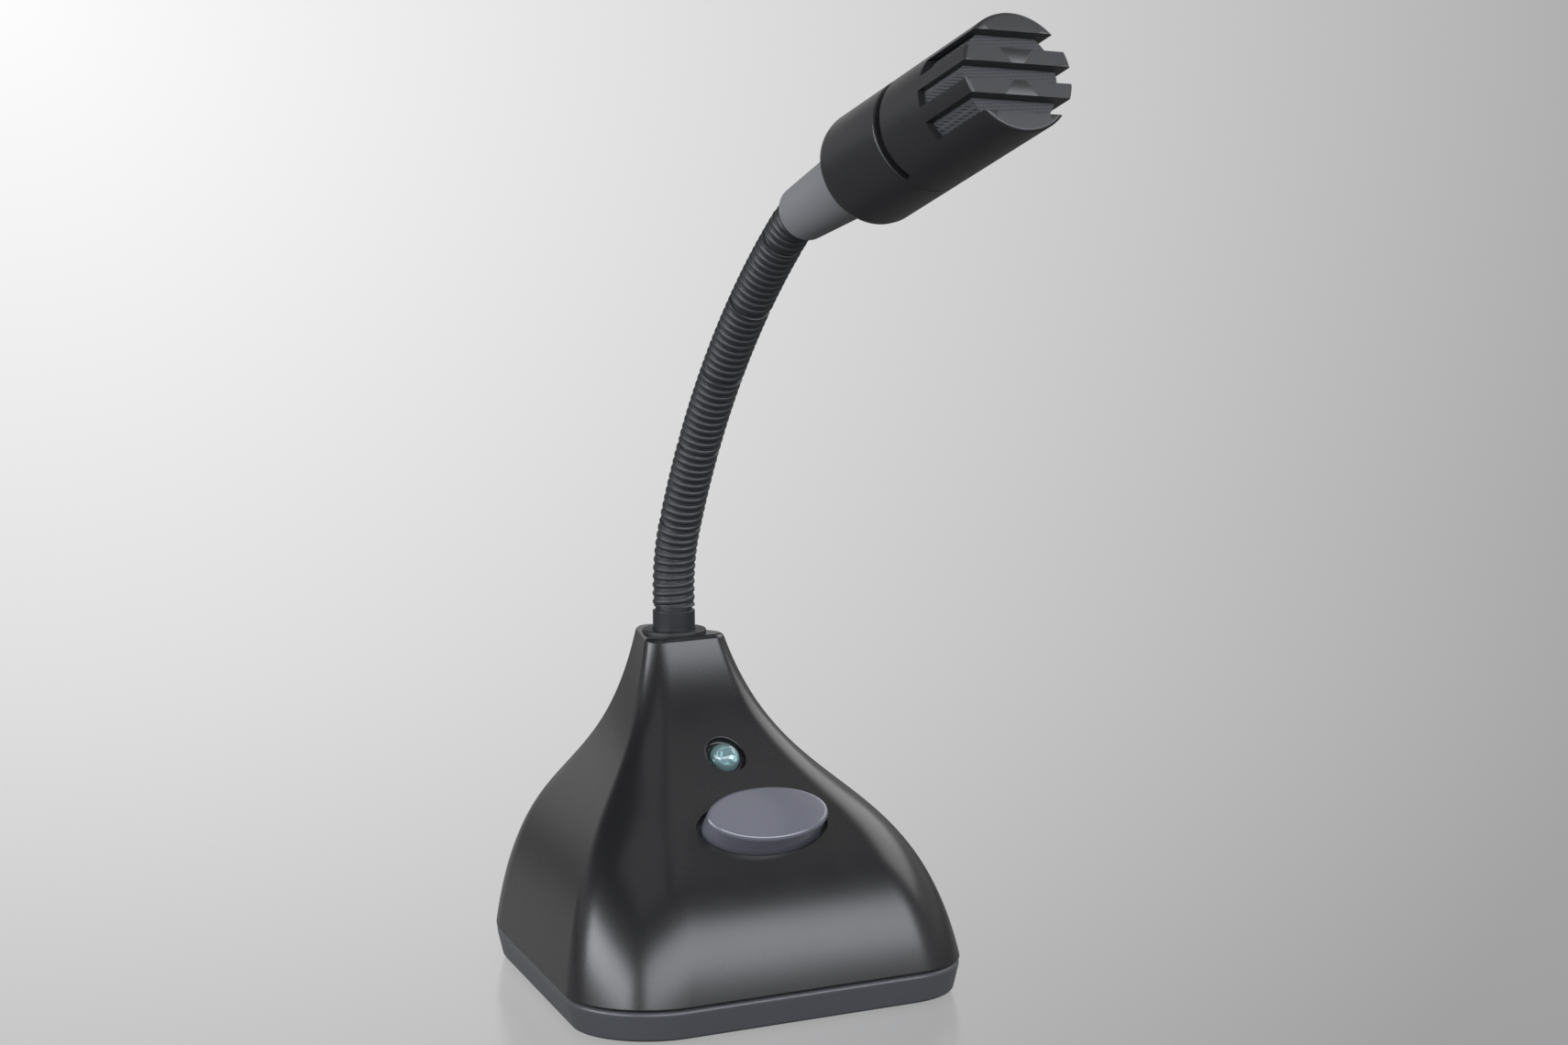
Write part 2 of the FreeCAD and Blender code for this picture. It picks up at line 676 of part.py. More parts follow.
def jack_wire():
    """From the front of the jack's body, round the rear screw boss, to the right connector."""
    plug, way = plug_exit(1)
    start = Vec(JACK_WIRE_X, jack_body_front_y() - JACK_BODY_L - WIRE_END_GAP, JACK_HEIGHT)
    boss = corner_points(-SCREW_INSET, JACK_HEIGHT)[1]
    beside = boss + X_AXIS * (BOSS_R + WIRE_R + JACK_WIRE_GAP)
    near = plug + way * JACK_WIRE_DROP
    ahead = start - Y_AXIS * JACK_WIRE_LEAD
    return wire_run([start, ahead, beside, near, plug])


# ---------------------------------------------------------------- neck path
def neck_pieces():
    """Runs of the neck's middle line in the YZ plane: start point, start angle, radius, length."""
    pieces = [(Vec(0, 0, TOP_Z - FERRULE_BELOW), 0.0, None, FERRULE_BELOW + NECK_STRAIGHT)]
    point, angle = Vec(0, 0, TOP_Z + NECK_STRAIGHT), 0.0
    for radius, end_degrees in NECK_ARCS:
        end = math.radians(end_degrees)
        pieces.append((point, angle, radius, radius * (end - angle)))
        centre = point - radial(angle) * radius
        point, angle = centre + radial(end) * radius, end
    pieces.append((point, angle, None, NECK_TAIL))
    return pieces


def radial(angle):
    return Vec(0, math.cos(angle), math.sin(angle))


def tangent(angle):
    return Vec(0, -math.sin(angle), math.cos(angle))


def neck_length():
    """Length of the middle line from the bottom of the ferrule to the rear of the head."""
    return sum(piece[3] for piece in neck_pieces()) - NECK_TAIL


def along_piece(piece, distance):
    point, angle, radius, length = piece
    if radius is None:
        return point + tangent(angle) * distance, angle
    end = angle + distance / radius
    return point - radial(angle) * radius + radial(end) * radius, end


def neck_at(distance):
    """Point and angle of the middle line at a distance from the bottom of the ferrule."""
    pieces = neck_pieces()
    for piece in pieces[:-1]:
        if distance <= piece[3] + 1e-9:
            return along_piece(piece, distance)
        distance -= piece[3]
    return along_piece(pieces[-1], distance)


def neck_run(start, end, radius):
    """Solid round bar along the middle line between two distances."""
    solid = None
    begun = 0.0
    for piece in neck_pieces():
        low, high = max(start, begun), min(end, begun + piece[3])
        if high - low > 1e-6:
            point, angle = along_piece(piece, low - begun)
            disc = Part.Face(Part.Wire(Part.Circle(point, tangent(angle), radius).toShape()))
            if piece[2] is None:
                part = disc.extrude(tangent(angle) * (high - low))
            else:
                centre = point - radial(angle) * piece[2]
                part = disc.revolve(centre, X_AXIS, math.degrees((high - low) / piece[2]))
            solid = part if solid is None else solid.fuse(part)
        begun += piece[3]
    return solid


def joint_distance(k):
    """Distance along the neck of joint k, counted from 0 at the ferrule's end."""
    first = FERRULE_BELOW + FERRULE_SHOWN
    return first + (neck_length() - first) * k / NECK_SECTIONS


def with_dome(bar, distance):
    """A bar that ends at a joint, with the ball end that the next section turns on."""
    point, angle = neck_at(distance)
    stub = cylinder(NECK_R, DOME_R, point, tangent(angle))
    return bar.fuse(stub.common(Part.makeSphere(DOME_R, point)))


def bored(bar, start, end):
    """A section with the bore that the leads run through, open at both ends."""
    first, first_angle = neck_at(start)
    last, last_angle = neck_at(end)
    bar = bar.cut(neck_run(start, end, NECK_BORE_R))
    bar = bar.cut(cylinder(NECK_BORE_R, DOME_R + 1, last, tangent(last_angle)))
    return bar


def neck_ferrule():
    end = joint_distance(0)
    return bored(with_dome(neck_run(0, end, NECK_R), end), 0, end)


def neck_section(k):
    """Section k of the neck: a cup on the joint below it and, but for the last, a ball above."""
    start, end = joint_distance(k), joint_distance(k + 1)
    point, angle = neck_at(start)
    if k == NECK_SECTIONS - 1:
        end += NECK_TAIL
        bar = neck_run(start, end, NECK_R)
    else:
        bar = with_dome(neck_run(start, end, NECK_R), end)
    return bored(bar, start, end).cut(Part.makeSphere(DOME_R + CUP_GAP, point))


def neck_collar():
    """Ring on top of the base with a sleeve in the shell's hole."""
    inner = NECK_R + NECK_FIT
    ring = cylinder(COLLAR_R, COLLAR_THICK, Vec(0, 0, TOP_Z))
    sleeve = cylinder(NECK_R + COLLAR_SLEEVE, COLLAR_DEPTH, Vec(0, 0, TOP_Z - COLLAR_DEPTH))
    bore = cylinder(inner, COLLAR_DEPTH + COLLAR_THICK, Vec(0, 0, TOP_Z - COLLAR_DEPTH))
    return ring.fuse(sleeve).cut(bore)


def neck_washer():
    return tube(WASHER_R, NECK_R + NECK_FIT, WASHER_THICK, Vec(0, 0, CROWN_Z - WASHER_THICK))


def neck_nut():
    z = CROWN_Z - WASHER_THICK - NUT_THICK
    return hexagon(NUT_R, NUT_THICK, z).cut(cylinder(NECK_R + NECK_FIT, NUT_THICK, Vec(0, 0, z)))


# ---------------------------------------------------------------- head
def in_head_frame(shape):
    """From a frame with +Z forward along the head and +Y up to the head's place on the neck."""
    origin, angle = neck_at(neck_length())
    forward = tangent(angle)
    roll = FreeCAD.Rotation(forward, -HEAD_ROLL)
    side = roll.multVec(X_AXIS)
    return placed(shape, origin, side, forward.cross(side), forward)


def barrel_front():
    return CONE_LENGTH + BARREL_LENGTH


def cap_rear():
    return barrel_front() + SEAM_GAP


def cap_front():
    return cap_rear() + CAP_LENGTH


def cap_bore_r():
    return HEAD_R - CAP_WALL


def head_ferrule():
    """Cone that grips the end of the neck, with the threaded spigot that the barrel screws on."""
    cone = Part.makeCone(CONE_REAR_R, CONE_FRONT_R, CONE_LENGTH)
    spigot = cylinder(SPIGOT_R, SPIGOT_LENGTH, Vec(0, 0, CONE_LENGTH))
    seat = cylinder(NECK_R + NECK_FIT, NECK_TAIL + NECK_FIT)
    hole = cylinder(LEAD_HOLE_R, CONE_LENGTH + SPIGOT_LENGTH)
    return cone.fuse(spigot).cut(seat).cut(hole)


def head_barrel():
    """Tube with a thick rear wall, a rounded rear shoulder and a reduced front end for the cap."""
    body = cylinder(HEAD_R, BARREL_LENGTH, Vec(0, 0, CONE_LENGTH))
    body = body.makeFillet(SHOULDER_R, ring_edges(body, CONE_LENGTH, HEAD_R))
    neck_r = cap_bore_r() - BARREL_FIT
    body = body.fuse(cylinder(neck_r, SEAM_GAP + NECKDOWN_LENGTH, Vec(0, 0, barrel_front())))
    bore_start = CONE_LENGTH + BARREL_REAR_WALL
    body = body.cut(cylinder(neck_r - NECKDOWN_WALL, cap_front(), Vec(0, 0, bore_start)))
    return body.cut(cylinder(SPIGOT_R + BARREL_FIT, BARREL_REAR_WALL, Vec(0, 0, CONE_LENGTH)))


def head_nut():
    z = CONE_LENGTH + BARREL_REAR_WALL
    bore = cylinder(SPIGOT_R + BARREL_FIT, HEAD_NUT_THICK, Vec(0, 0, z))
    return hexagon(HEAD_NUT_R, HEAD_NUT_THICK, z).cut(bore)


def slot_cutters():
    """Boxes for the slots, from in front of the cap back along both of its sides."""
    cutters = []
    for k in range(SLOT_COUNT):
        y = (k - (SLOT_COUNT - 1) / 2) * SLOT_PITCH
        low, high = y - SLOT_HEIGHT / 2, y + SLOT_HEIGHT / 2
        cutters.append(box(HEAD_R + 1, low, high, cap_front() - SLOT_LENGTH, cap_front() + 1))
    return cutters


def grille_cap():
    """Slotted cap, with a key at the bottom of its rear rim that closes the seam there."""
    body = cylinder(HEAD_R, CAP_LENGTH, Vec(0, 0, cap_rear()))
    body = body.makeFillet(CAP_EDGE_R, ring_edges(body, cap_front(), HEAD_R))
    body = body.cut(cylinder(cap_bore_r(), CAP_LENGTH - CAP_FRONT_WALL, Vec(0, 0, cap_rear())))
    for cutter in slot_cutters():
        body = body.cut(cutter)
    key = tube(HEAD_R, cap_bore_r(), SEAM_GAP - SEAM_KEY_FIT, Vec(0, 0, barrel_front() + SEAM_KEY_FIT))
    half = math.radians(SEAM_KEY_ANGLE / 2)
    reach = 2 * HEAD_R
    corners = [Vec(0, 0, 0), Vec(-reach * math.sin(half), -reach * math.cos(half), 0)]
    corners += [Vec(0, -reach, 0), Vec(reach * math.sin(half), -reach * math.cos(half), 0), Vec(0, 0, 0)]
    wedge = Part.Face(Part.makePolygon(corners)).extrude(Z_AXIS * cap_front())
    return body.fuse(key.common(wedge))


def screen_front():
    return cap_front() - CAP_FRONT_WALL - SCREEN_GAP


def screen_cup():
    """Fine mesh cup that shows through the slots."""
    outer = cap_bore_r() - SCREEN_GAP
    rear = Vec(0, 0, screen_front() - SCREEN_LENGTH)
    hollow = cylinder(outer - SCREEN_WALL, SCREEN_LENGTH - SCREEN_WALL, rear)
    return cylinder(outer, SCREEN_LENGTH, rear).cut(hollow)


def foam_front():
    return screen_front() - SCREEN_WALL - SCREEN_GAP


def boot_r():
    return cap_bore_r() - SCREEN_GAP - SCREEN_WALL - BOOT_GAP


def foam_disc():
    return cylinder(boot_r(), FOAM_THICK, Vec(0, 0, foam_front() - FOAM_THICK))


def boot_front():
    return foam_front() - FOAM_THICK - BOOT_GAP


def capsule_front():
    return boot_front() - BOOT_OVERHANG


def boot_rear():
    return capsule_front() - CAPSULE_LENGTH - BOOT_GAP - BOOT_FLOOR


def capsule_boot():
    """Rubber cup that holds the capsule, open in front, with two holes for its pins."""
    length = boot_front() - boot_rear()
    body = cylinder(boot_r(), length, Vec(0, 0, boot_rear()))
    body = body.cut(cylinder(CAPSULE_R + BOOT_GAP, length, Vec(0, 0, boot_rear() + BOOT_FLOOR)))
    for side in (-0.5, 0.5):
        body = body.cut(cylinder(PIN_R + LEAD_GAP, BOOT_FLOOR, Vec(side * PIN_SPACING, 0, boot_rear())))
    return body


def mic_capsule():
    """Electret capsule with a sound port in front and two pins that reach the little board."""
    rear = capsule_front() - CAPSULE_LENGTH
    body = cylinder(CAPSULE_R, CAPSULE_LENGTH, Vec(0, 0, rear))
    port = Vec(0, 0, capsule_front() - CAPSULE_PORT_DEPTH)
    body = body.cut(cylinder(CAPSULE_PORT_R, CAPSULE_PORT_DEPTH, port))
    length = rear - head_board_rear()
    for side in (-0.5, 0.5):
        body = body.fuse(cylinder(PIN_R, length, Vec(side * PIN_SPACING, 0, head_board_rear())))
    return body


def head_board_rear():
    return boot_rear() - HEAD_BOARD_GAP - HEAD_BOARD_THICK


def head_board():
    board = cylinder(boot_r(), HEAD_BOARD_THICK, Vec(0, 0, head_board_rear()))
    for side in (-0.5, 0.5):
        point = Vec(side * PIN_SPACING, 0, head_board_rear())
        board = board.cut(cylinder(PIN_R + LEAD_GAP, HEAD_BOARD_THICK, point))
    return board


def head_wire():
    """Lead from the little board back to the mouth of the neck."""
    start = NECK_TAIL + NECK_FIT + WIRE_END_GAP
    return cylinder(WIRE_R, head_board_rear() - WIRE_END_GAP - start, Vec(0, 0, start))


# ---------------------------------------------------------------- build
def main():
    os.makedirs("parts", exist_ok=True)
    save("base_tray", base_tray())
    save("upper_shell", upper_shell())
    feet = corner_points(FOOT_OUTSET, 0)
    for name, point in zip(("right_foot", "rear_foot", "left_foot"), feet):
        save(name, rubber_foot(point))
    save("case_screws", *[case_screw(p) for p in corner_points(-SCREW_INSET, TRAY_Z + SCREW_RECESS)])
    save("ballast_pad", ballast_layer(FLOOR_Z, FLOOR_Z + PAD_THICK))
    save("ballast_plate", ballast_layer(FLOOR_Z + PAD_THICK, FLOOR_Z + PAD_THICK + BALLAST_THICK))
    save("push_button", push_button())
    save("switch_plunger", switch_plunger())
    save("switch_body", switch_body())
    save("led_holder", led_holder())
    save("indicator_led", indicator_led())
    save("control_board", control_board())
    save("board_screws", *[board_screw(p) for p in post_points(board_bottom())])
    save("mic_connector", board_plug(-1))
    save("jack_connector", board_plug(1))
    save("amplifier_chip", amplifier_chip())
    save("jack_socket", jack_socket())
    save("jack_nut", jack_nut())
    save("mic_wire", mic_wire())
    save("jack_wire", jack_wire())
    save("neck_collar", neck_collar())
    save("neck_washer", neck_washer())
    save("neck_nut", neck_nut())
    save("neck_ferrule", neck_ferrule())
    for k in range(NECK_SECTIONS):
        save("neck_section_%02d" % (k + 1), neck_section(k))
    save("head_ferrule", in_head_frame(head_ferrule()))
    save("head_barrel", in_head_frame(head_barrel()))
    save("head_nut", in_head_frame(head_nut()))
    save("grille_cap", in_head_frame(grille_cap()))
    save("screen_cup", in_head_frame(screen_cup()))
    save("foam_disc", in_head_frame(foam_disc()))
    save("capsule_boot", in_head_frame(capsule_boot()))
    save("mic_capsule", in_head_frame(mic_capsule()))
    save("head_board", in_head_frame(head_board()))
    save("head_wire", in_head_frame(head_wire()))


main()
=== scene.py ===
"""Gooseneck desk microphone: the visible pieces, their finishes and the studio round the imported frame.

Lengths in the classes are millimetres, in the part's own frame: +Z up, -Y to the front, the origin on
the resting plane under the neck. They are scaled to metres only where a mesh is made.
"""

import json
import logging
import math
from collections.abc import Iterable, Sequence
from dataclasses import dataclass, field
from enum import Enum
from functools import lru_cache

import bmesh
import bpy
from mathutils import Matrix, Vector
from mathutils.geometry import delaunay_2d_cdt

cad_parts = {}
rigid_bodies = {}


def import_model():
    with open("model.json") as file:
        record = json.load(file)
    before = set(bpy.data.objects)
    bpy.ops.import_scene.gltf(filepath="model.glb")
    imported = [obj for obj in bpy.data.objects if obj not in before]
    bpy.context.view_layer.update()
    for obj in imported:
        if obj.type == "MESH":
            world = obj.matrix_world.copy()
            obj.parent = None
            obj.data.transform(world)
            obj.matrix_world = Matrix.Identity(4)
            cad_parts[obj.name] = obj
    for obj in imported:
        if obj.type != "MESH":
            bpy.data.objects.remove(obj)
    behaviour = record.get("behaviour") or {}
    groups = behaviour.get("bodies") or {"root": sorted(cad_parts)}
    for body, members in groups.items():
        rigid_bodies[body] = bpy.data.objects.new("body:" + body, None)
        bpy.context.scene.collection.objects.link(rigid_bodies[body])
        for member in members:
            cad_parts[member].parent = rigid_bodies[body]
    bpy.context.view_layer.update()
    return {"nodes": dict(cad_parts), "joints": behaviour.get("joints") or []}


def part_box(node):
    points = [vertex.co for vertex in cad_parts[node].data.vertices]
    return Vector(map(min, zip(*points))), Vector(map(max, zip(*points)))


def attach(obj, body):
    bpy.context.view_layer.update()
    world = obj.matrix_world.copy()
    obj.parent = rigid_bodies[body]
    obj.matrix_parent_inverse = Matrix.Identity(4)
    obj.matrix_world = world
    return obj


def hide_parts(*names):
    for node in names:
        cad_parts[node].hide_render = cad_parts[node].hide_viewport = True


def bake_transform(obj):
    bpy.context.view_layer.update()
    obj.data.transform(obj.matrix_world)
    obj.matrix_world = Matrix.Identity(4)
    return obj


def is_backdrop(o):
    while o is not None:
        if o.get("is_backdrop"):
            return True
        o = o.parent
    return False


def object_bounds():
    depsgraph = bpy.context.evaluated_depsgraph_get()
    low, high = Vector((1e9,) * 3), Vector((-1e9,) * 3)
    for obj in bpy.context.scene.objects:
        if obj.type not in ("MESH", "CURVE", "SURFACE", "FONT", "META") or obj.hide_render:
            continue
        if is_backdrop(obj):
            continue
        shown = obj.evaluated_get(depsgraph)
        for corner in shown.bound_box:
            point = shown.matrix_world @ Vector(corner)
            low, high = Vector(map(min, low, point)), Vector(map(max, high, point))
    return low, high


LOG = logging.getLogger("microphone")
MM = 0.001
# A tube's profile ends this far past its own start, in millimetres, so that no two rings coincide.
SEAM_STEP = 0.01
# Two corners of a flat net closer than this count as one.
NET_TOLERANCE = 1e-7
X_AXIS = Vector((1, 0, 0))
Y_AXIS = Vector((0, 1, 0))
Z_AXIS = Vector((0, 0, 1))


# ------------------------------------------------------------------ shapes
@dataclass
class Shape:
    """Points and faces of one mesh, in millimetres.

    Points listed in normals are shaded with the normal given there; the others follow their faces.
    """

    points: list[Vector] = field(default_factory=list)
    faces: list[tuple[int, ...]] = field(default_factory=list)
    normals: dict[int, Vector] = field(default_factory=dict)

    def ring(self, points: Iterable[Vector], normals: Sequence[Vector] | None = None) -> list[int]:
        """Adds points.

        Args:
            points: Places of the new points.
            normals: Their shading normals, if they are known.

        Returns:
            The new points' numbers, in order.
        """
        first = len(self.points)
        self.points.extend(Vector(p) for p in points)
        numbers = list(range(first, len(self.points)))
        if normals is not None:
            self.normals.update(zip(numbers, normals))
        return numbers

    def bridge(self, lower: Sequence[int], upper: Sequence[int]) -> None:
        """Joins two closed rings of equal length with a band of quads.

        Args:
            lower: The first ring's numbers.
            upper: The second ring's.
        """
        count = len(lower)
        for k in range(count):
            after = (k + 1) % count
            self.faces.append((lower[k], lower[after], upper[after], upper[k]))

    def skin(self, rings: Sequence[Sequence[int]]) -> None:
        """Joins each ring to the next."""
        for lower, upper in zip(rings, rings[1:]):
            self.bridge(lower, upper)

    def close(self, ring: Sequence[int]) -> None:
        """Fills a ring with one flat face."""
        self.faces.append(tuple(ring))

    def enclose(self, rings: Sequence[Sequence[int]]) -> None:
        """Joins each ring to the next and closes both ends flat.

        Args:
            rings: The rings, in order.
        """
        self.skin(rings)
        self.close(rings[0])
        self.close(rings[-1])

    def moved(self, place: Matrix) -> "Shape":
        """The same shape in another place.

        Args:
            place: The matrix that takes it there.

        Returns:
            The new shape.
        """
        turn = place.to_3x3()
        normals = {k: turn @ n for k, n in self.normals.items()}
        return Shape([place @ p for p in self.points], list(self.faces), normals)

    def add(self, other: "Shape") -> None:
        """Takes in another shape's points and faces.

        Args:
            other: The shape; it stays as it is.
        """
        first = len(self.points)
        self.points.extend(other.points)
        self.faces.extend(tuple(first + k for k in face) for face in other.faces)
        self.normals.update({first + k: n for k, n in other.normals.items()})


@dataclass(frozen=True)
class Corner:
    """One corner of a profile: how far out, how high, and how far it is rounded."""

    out: float
    high: float
    rounding: float = 0.0


def rounded(corners: Sequence[Corner], steps: int = 4) -> list[tuple[float, float]]:
    """Turns a profile's corners into points, with an arc at each rounded corner.

    Args:
        corners: The profile from one end to the other; its ends aren't rounded.
        steps: Straight pieces in each arc.

    Returns:
        The profile's points as (out, high).
    """
    points = [(corners[0].out, corners[0].high)]
    for before, corner, after in zip(corners, corners[1:], corners[2:]):
        here = Vector((corner.out, corner.high))
        back = Vector((before.out, before.high)) - here
        ahead = Vector((after.out, after.high)) - here
        if corner.rounding <= 0:
            points.append((here.x, here.y))
            continue
        half = back.angle(ahead) / 2
        reach = corner.rounding / math.tan(half)
        inward = (back.normalized() + ahead.normalized()).normalized()
        centre = here + inward * (corner.rounding / math.sin(half))
        start = here + back.normalized() * reach - centre
        end = here + ahead.normalized() * reach - centre
        turn = start.angle_signed(end)
        for k in range(steps + 1):
            spoke = start.copy()
            spoke.rotate(Matrix.Rotation(-turn * k / steps, 2))
            points.append((centre.x + spoke.x, centre.y + spoke.y))
    points.append((corners[-1].out, corners[-1].high))
    return points


def ellipse(half_w: float, half_h: float, high: float, steps: int) -> list[Vector]:
    """Points of an ellipse about +Z, counter-clockwise from +X."""
    angles = [2 * math.pi * k / steps for k in range(steps)]
    return [Vector((half_w * math.cos(a), half_h * math.sin(a), high)) for a in angles]


def circle(radius: float, high: float, steps: int) -> list[Vector]:
    """Points of a circle about +Z, counter-clockwise from +X."""
    return ellipse(radius, radius, high, steps)


def turned(corners: Sequence[Corner], steps: int = 96, closed: bool = False) -> Shape:
    """Turns a profile round +Z.

    Args:
        corners: The profile. An open one is closed with a flat disc at each end.
        steps: Sides round the axis.
        closed: True for a profile that runs back to its own start, as in a tube.

    Returns:
        The turned shape.
    """
    shape = Shape()
    rings = [shape.ring(circle(out, high, steps)) for out, high in rounded(corners)]
    if closed:
        shape.skin(rings)
        shape.bridge(rings[-1], rings[0])
    else:
        shape.enclose(rings)
    return shape


def ellipse_rings(profile: Sequence[tuple[float, float, float]], steps: int) -> Shape:
    """Skins ellipses about +Z.

    Args:
        profile: (half width along X, half height along Y, height) of each ellipse, in order.
        steps: Points in each.

    Returns:
        The shape, closed flat at both ends.
    """
    shape = Shape()
    shape.enclose([shape.ring(ellipse(half_w, half_h, high, steps)) for half_w, half_h, high in profile])
    return shape


def block(half: Vector, middle: Vector) -> Shape:
    """A block by its half sizes and its middle.

    Args:
        half: Half its size along X, Y and Z.
        middle: Its middle.

    Returns:
        The shape.
    """
    shape = Shape()
    signs = ((-1, -1), (1, -1), (1, 1), (-1, 1))
    rings = [shape.ring(middle + Vector((x * half.x, y * half.y, z * half.z)) for x, y in signs)
             for z in (-1, 1)]
    shape.enclose(rings)
    return shape


def framed(origin: Vector, across: Vector, up: Vector, out: Vector) -> Matrix:
    """The matrix that takes X, Y and Z to three directions at an origin.

    Args:
        origin: The origin.
        across: Where X goes.
        up: Where Y goes.
        out: Where Z goes.

    Returns:
        The matrix.
    """
    place = Matrix((across, up, out)).transposed().to_4x4()
    place.translation = origin
    return place


# ------------------------------------------------------------------ finishes
def linear(code: str) -> tuple[float, float, float, float]:
    """An sRGB hex colour as linear RGBA.

    Args:
        code: The colour, as in #rrggbb.

    Returns:
        Red, green, blue and an alpha of one.
    """
    parts = [int(code[k:k + 2], 16) / 255 for k in (1, 3, 5)]
    values = [c / 12.92 if c <= 0.04045 else ((c + 0.055) / 1.055) ** 2.4 for c in parts]
    return values[0], values[1], values[2], 1.0


def add_node(tree: bpy.types.NodeTree, kind: str, settings: dict[str, object] | None = None,
             inputs: dict[str | int, object] | None = None) -> bpy.types.Node:
    """Adds one node.

    Args:
        tree: The tree it goes into.
        kind: Its type, without the words ShaderNode.
        settings: Its properties by name.
        inputs: Its inputs by name or number: each a value, or another node's socket to link.

    Returns:
        The node.
    """
    node = tree.nodes.new("ShaderNode" + kind)
    for name, value in (settings or {}).items():
        setattr(node, name, value)
    for name, value in (inputs or {}).items():
        if isinstance(value, bpy.types.NodeSocket):
            tree.links.new(value, node.inputs[name])
        else:
            node.inputs[name].default_value = value
    return node


class Pattern(Enum):
    """How a surface was made, which sets the detail that the eye finds on it."""

    MOULDED = "moulded"
    DRAWN = "drawn"
    CAST = "cast"
    WOVEN = "woven"
    FOAMED = "foamed"
    CLEAR = "clear"


# Drawing and turning leave fine lines one way: their lumps are stretched twenty times along one axis.
LINE_STRETCH = (1.0, 1.0, 0.05)
# One band of the wave texture is 2 pi / 20 of its unit at scale 1.
WAVE_BAND = 0.314
# The slow variation of tint and gloss is this many grains across, on drawn and on other surfaces.
DRAWN_SPAN, PLAIN_SPAN = 20, 60


@dataclass(frozen=True)
class Finish:
    """A material and how its surface was made.

    Colours are sRGB hex. Grain is the size of the surface's texture in millimetres, and depth how deep
    it is. Mottle is how far the second colour shows through.
    """

    name: str
    colour: str
    second: str
    pattern: Pattern
    roughness: float
    grain: float
    depth: float
    mottle: float = 0.35
    spread: float = 0.06
    metallic: float = 0.0
    ior: float = 1.5
    coat: float = 0.0
    coat_roughness: float = 0.2
    transmission: float = 0.0

    @lru_cache(maxsize=None)
    def material(self) -> bpy.types.Material:
        """Builds the node material once.

        Returns:
            The material.
        """
        made = bpy.data.materials.new(self.name)
        made.use_nodes = True
        tree = made.node_tree
        tree.nodes.clear()
        place = add_node(tree, "TexCoord").outputs["Object"]
        shader = add_node(tree, "BsdfPrincipled", None, {
            "Metallic": self.metallic, "Coat Weight": self.coat, "Coat Roughness": self.coat_roughness,
            "Transmission Weight": self.transmission})
        if not self.metallic:
            shader.inputs["IOR"].default_value = self.ior
        fine, broad = self.fields(tree, place)
        tint = add_node(tree, "Mix", {"data_type": "RGBA"}, {
            0: self.scaled(tree, broad, 0.0, self.mottle), 6: linear(self.colour), 7: linear(self.second)})
        tree.links.new(tint.outputs[2], shader.inputs["Base Color"])
        low, high = self.roughness - self.spread, self.roughness + self.spread
        tree.links.new(self.scaled(tree, broad, low, high), shader.inputs["Roughness"])
        bump = add_node(tree, "Bump", None, {"Strength": 1.0, "Distance": self.depth * MM, "Height": fine})
        tree.links.new(bump.outputs["Normal"], shader.inputs["Normal"])
        add_node(tree, "OutputMaterial", None, {"Surface": shader.outputs[0]})
        return made

    def scaled(self, tree: bpy.types.NodeTree, value: bpy.types.NodeSocket, low: float,
               high: float) -> bpy.types.NodeSocket:
        """A 0 to 1 value spread between two others."""
        return add_node(tree, "MapRange", None, {"Value": value, "To Min": low, "To Max": high}).outputs[0]

    def noise(self, tree: bpy.types.NodeTree, place: bpy.types.NodeSocket, size: float,
              detail: float) -> bpy.types.NodeSocket:
        """Noise whose lumps are a size in millimetres."""
        settings = {"Vector": place, "Scale": 1 / (size * MM), "Detail": detail, "Roughness": 0.55}
        return add_node(tree, "TexNoise", None, settings).outputs[0]

    def fields(self, tree: bpy.types.NodeTree,
               place: bpy.types.NodeSocket) -> tuple[bpy.types.NodeSocket, bpy.types.NodeSocket]:
        """The surface's height and its slow variation, both 0 to 1.

        Args:
            tree: The material's tree.
            place: The point in the piece's own frame.

        Returns:
            The fine height, then the broad variation that tints it and changes its gloss.
        """
        if self.pattern is Pattern.DRAWN:
            lines = add_node(tree, "Mapping", None, {"Vector": place, "Scale": LINE_STRETCH}).outputs[0]
            broad = self.noise(tree, place, DRAWN_SPAN * self.grain, 2.0)
            return self.noise(tree, lines, self.grain, 3.0), broad
        if self.pattern is Pattern.WOVEN:
            # Threads cross at right angles: the higher of two sets of rounded ridges.
            ridges = []
            for across in ("X", "Z"):
                settings = {"wave_type": "BANDS", "bands_direction": across, "wave_profile": "SIN"}
                inputs = {"Vector": place, "Scale": WAVE_BAND / (self.grain * MM), "Distortion": 0.0}
                ridges.append(add_node(tree, "TexWave", settings, inputs).outputs["Fac"])
            height = add_node(tree, "Math", {"operation": "MAXIMUM"}, dict(enumerate(ridges))).outputs[0]
            # The height also sets the tint: on the gauze that is painted highlight on the crowns and
            # painted shade between the threads; on the laminate it is the cloth's own weave.
            return height, height
        if self.pattern is Pattern.FOAMED:
            cells = add_node(tree, "TexVoronoi", {"feature": "SMOOTH_F1"}, {
                "Vector": place, "Scale": 1 / (self.grain * MM)}).outputs["Distance"]
            return cells, cells
        detail = 6.0 if self.pattern is Pattern.CAST else 2.0
        broad = self.noise(tree, place, PLAIN_SPAN * self.grain, 3.0)
        return self.noise(tree, place, self.grain, detail), broad


# ABS moulded in a lightly spark-eroded tool: satin, with a faint sheen that is uneven where it was
# handled. The tray's vertical band is the same ABS painted much paler, as a painted reflection of the
# bright floor.
SHELL_ABS = Finish("charcoal_abs_satin", "#1b1b1c", "#1e1e1e", Pattern.MOULDED, 0.27, 0.12, 0.0002,
                   spread=0.02)
TRAY_ABS_PAINTED_FLOOR_LIGHT = Finish("charcoal_abs_tray_painted_floor_light", "#46484b", "#4b4d50", Pattern.MOULDED, 0.33, 0.14, 0.001,
                  spread=0.02)
CAP_ABS = Finish("charcoal_abs_head", "#232324", "#282829", Pattern.MOULDED, 0.34, 0.12, 0.0012,
                 spread=0.02)
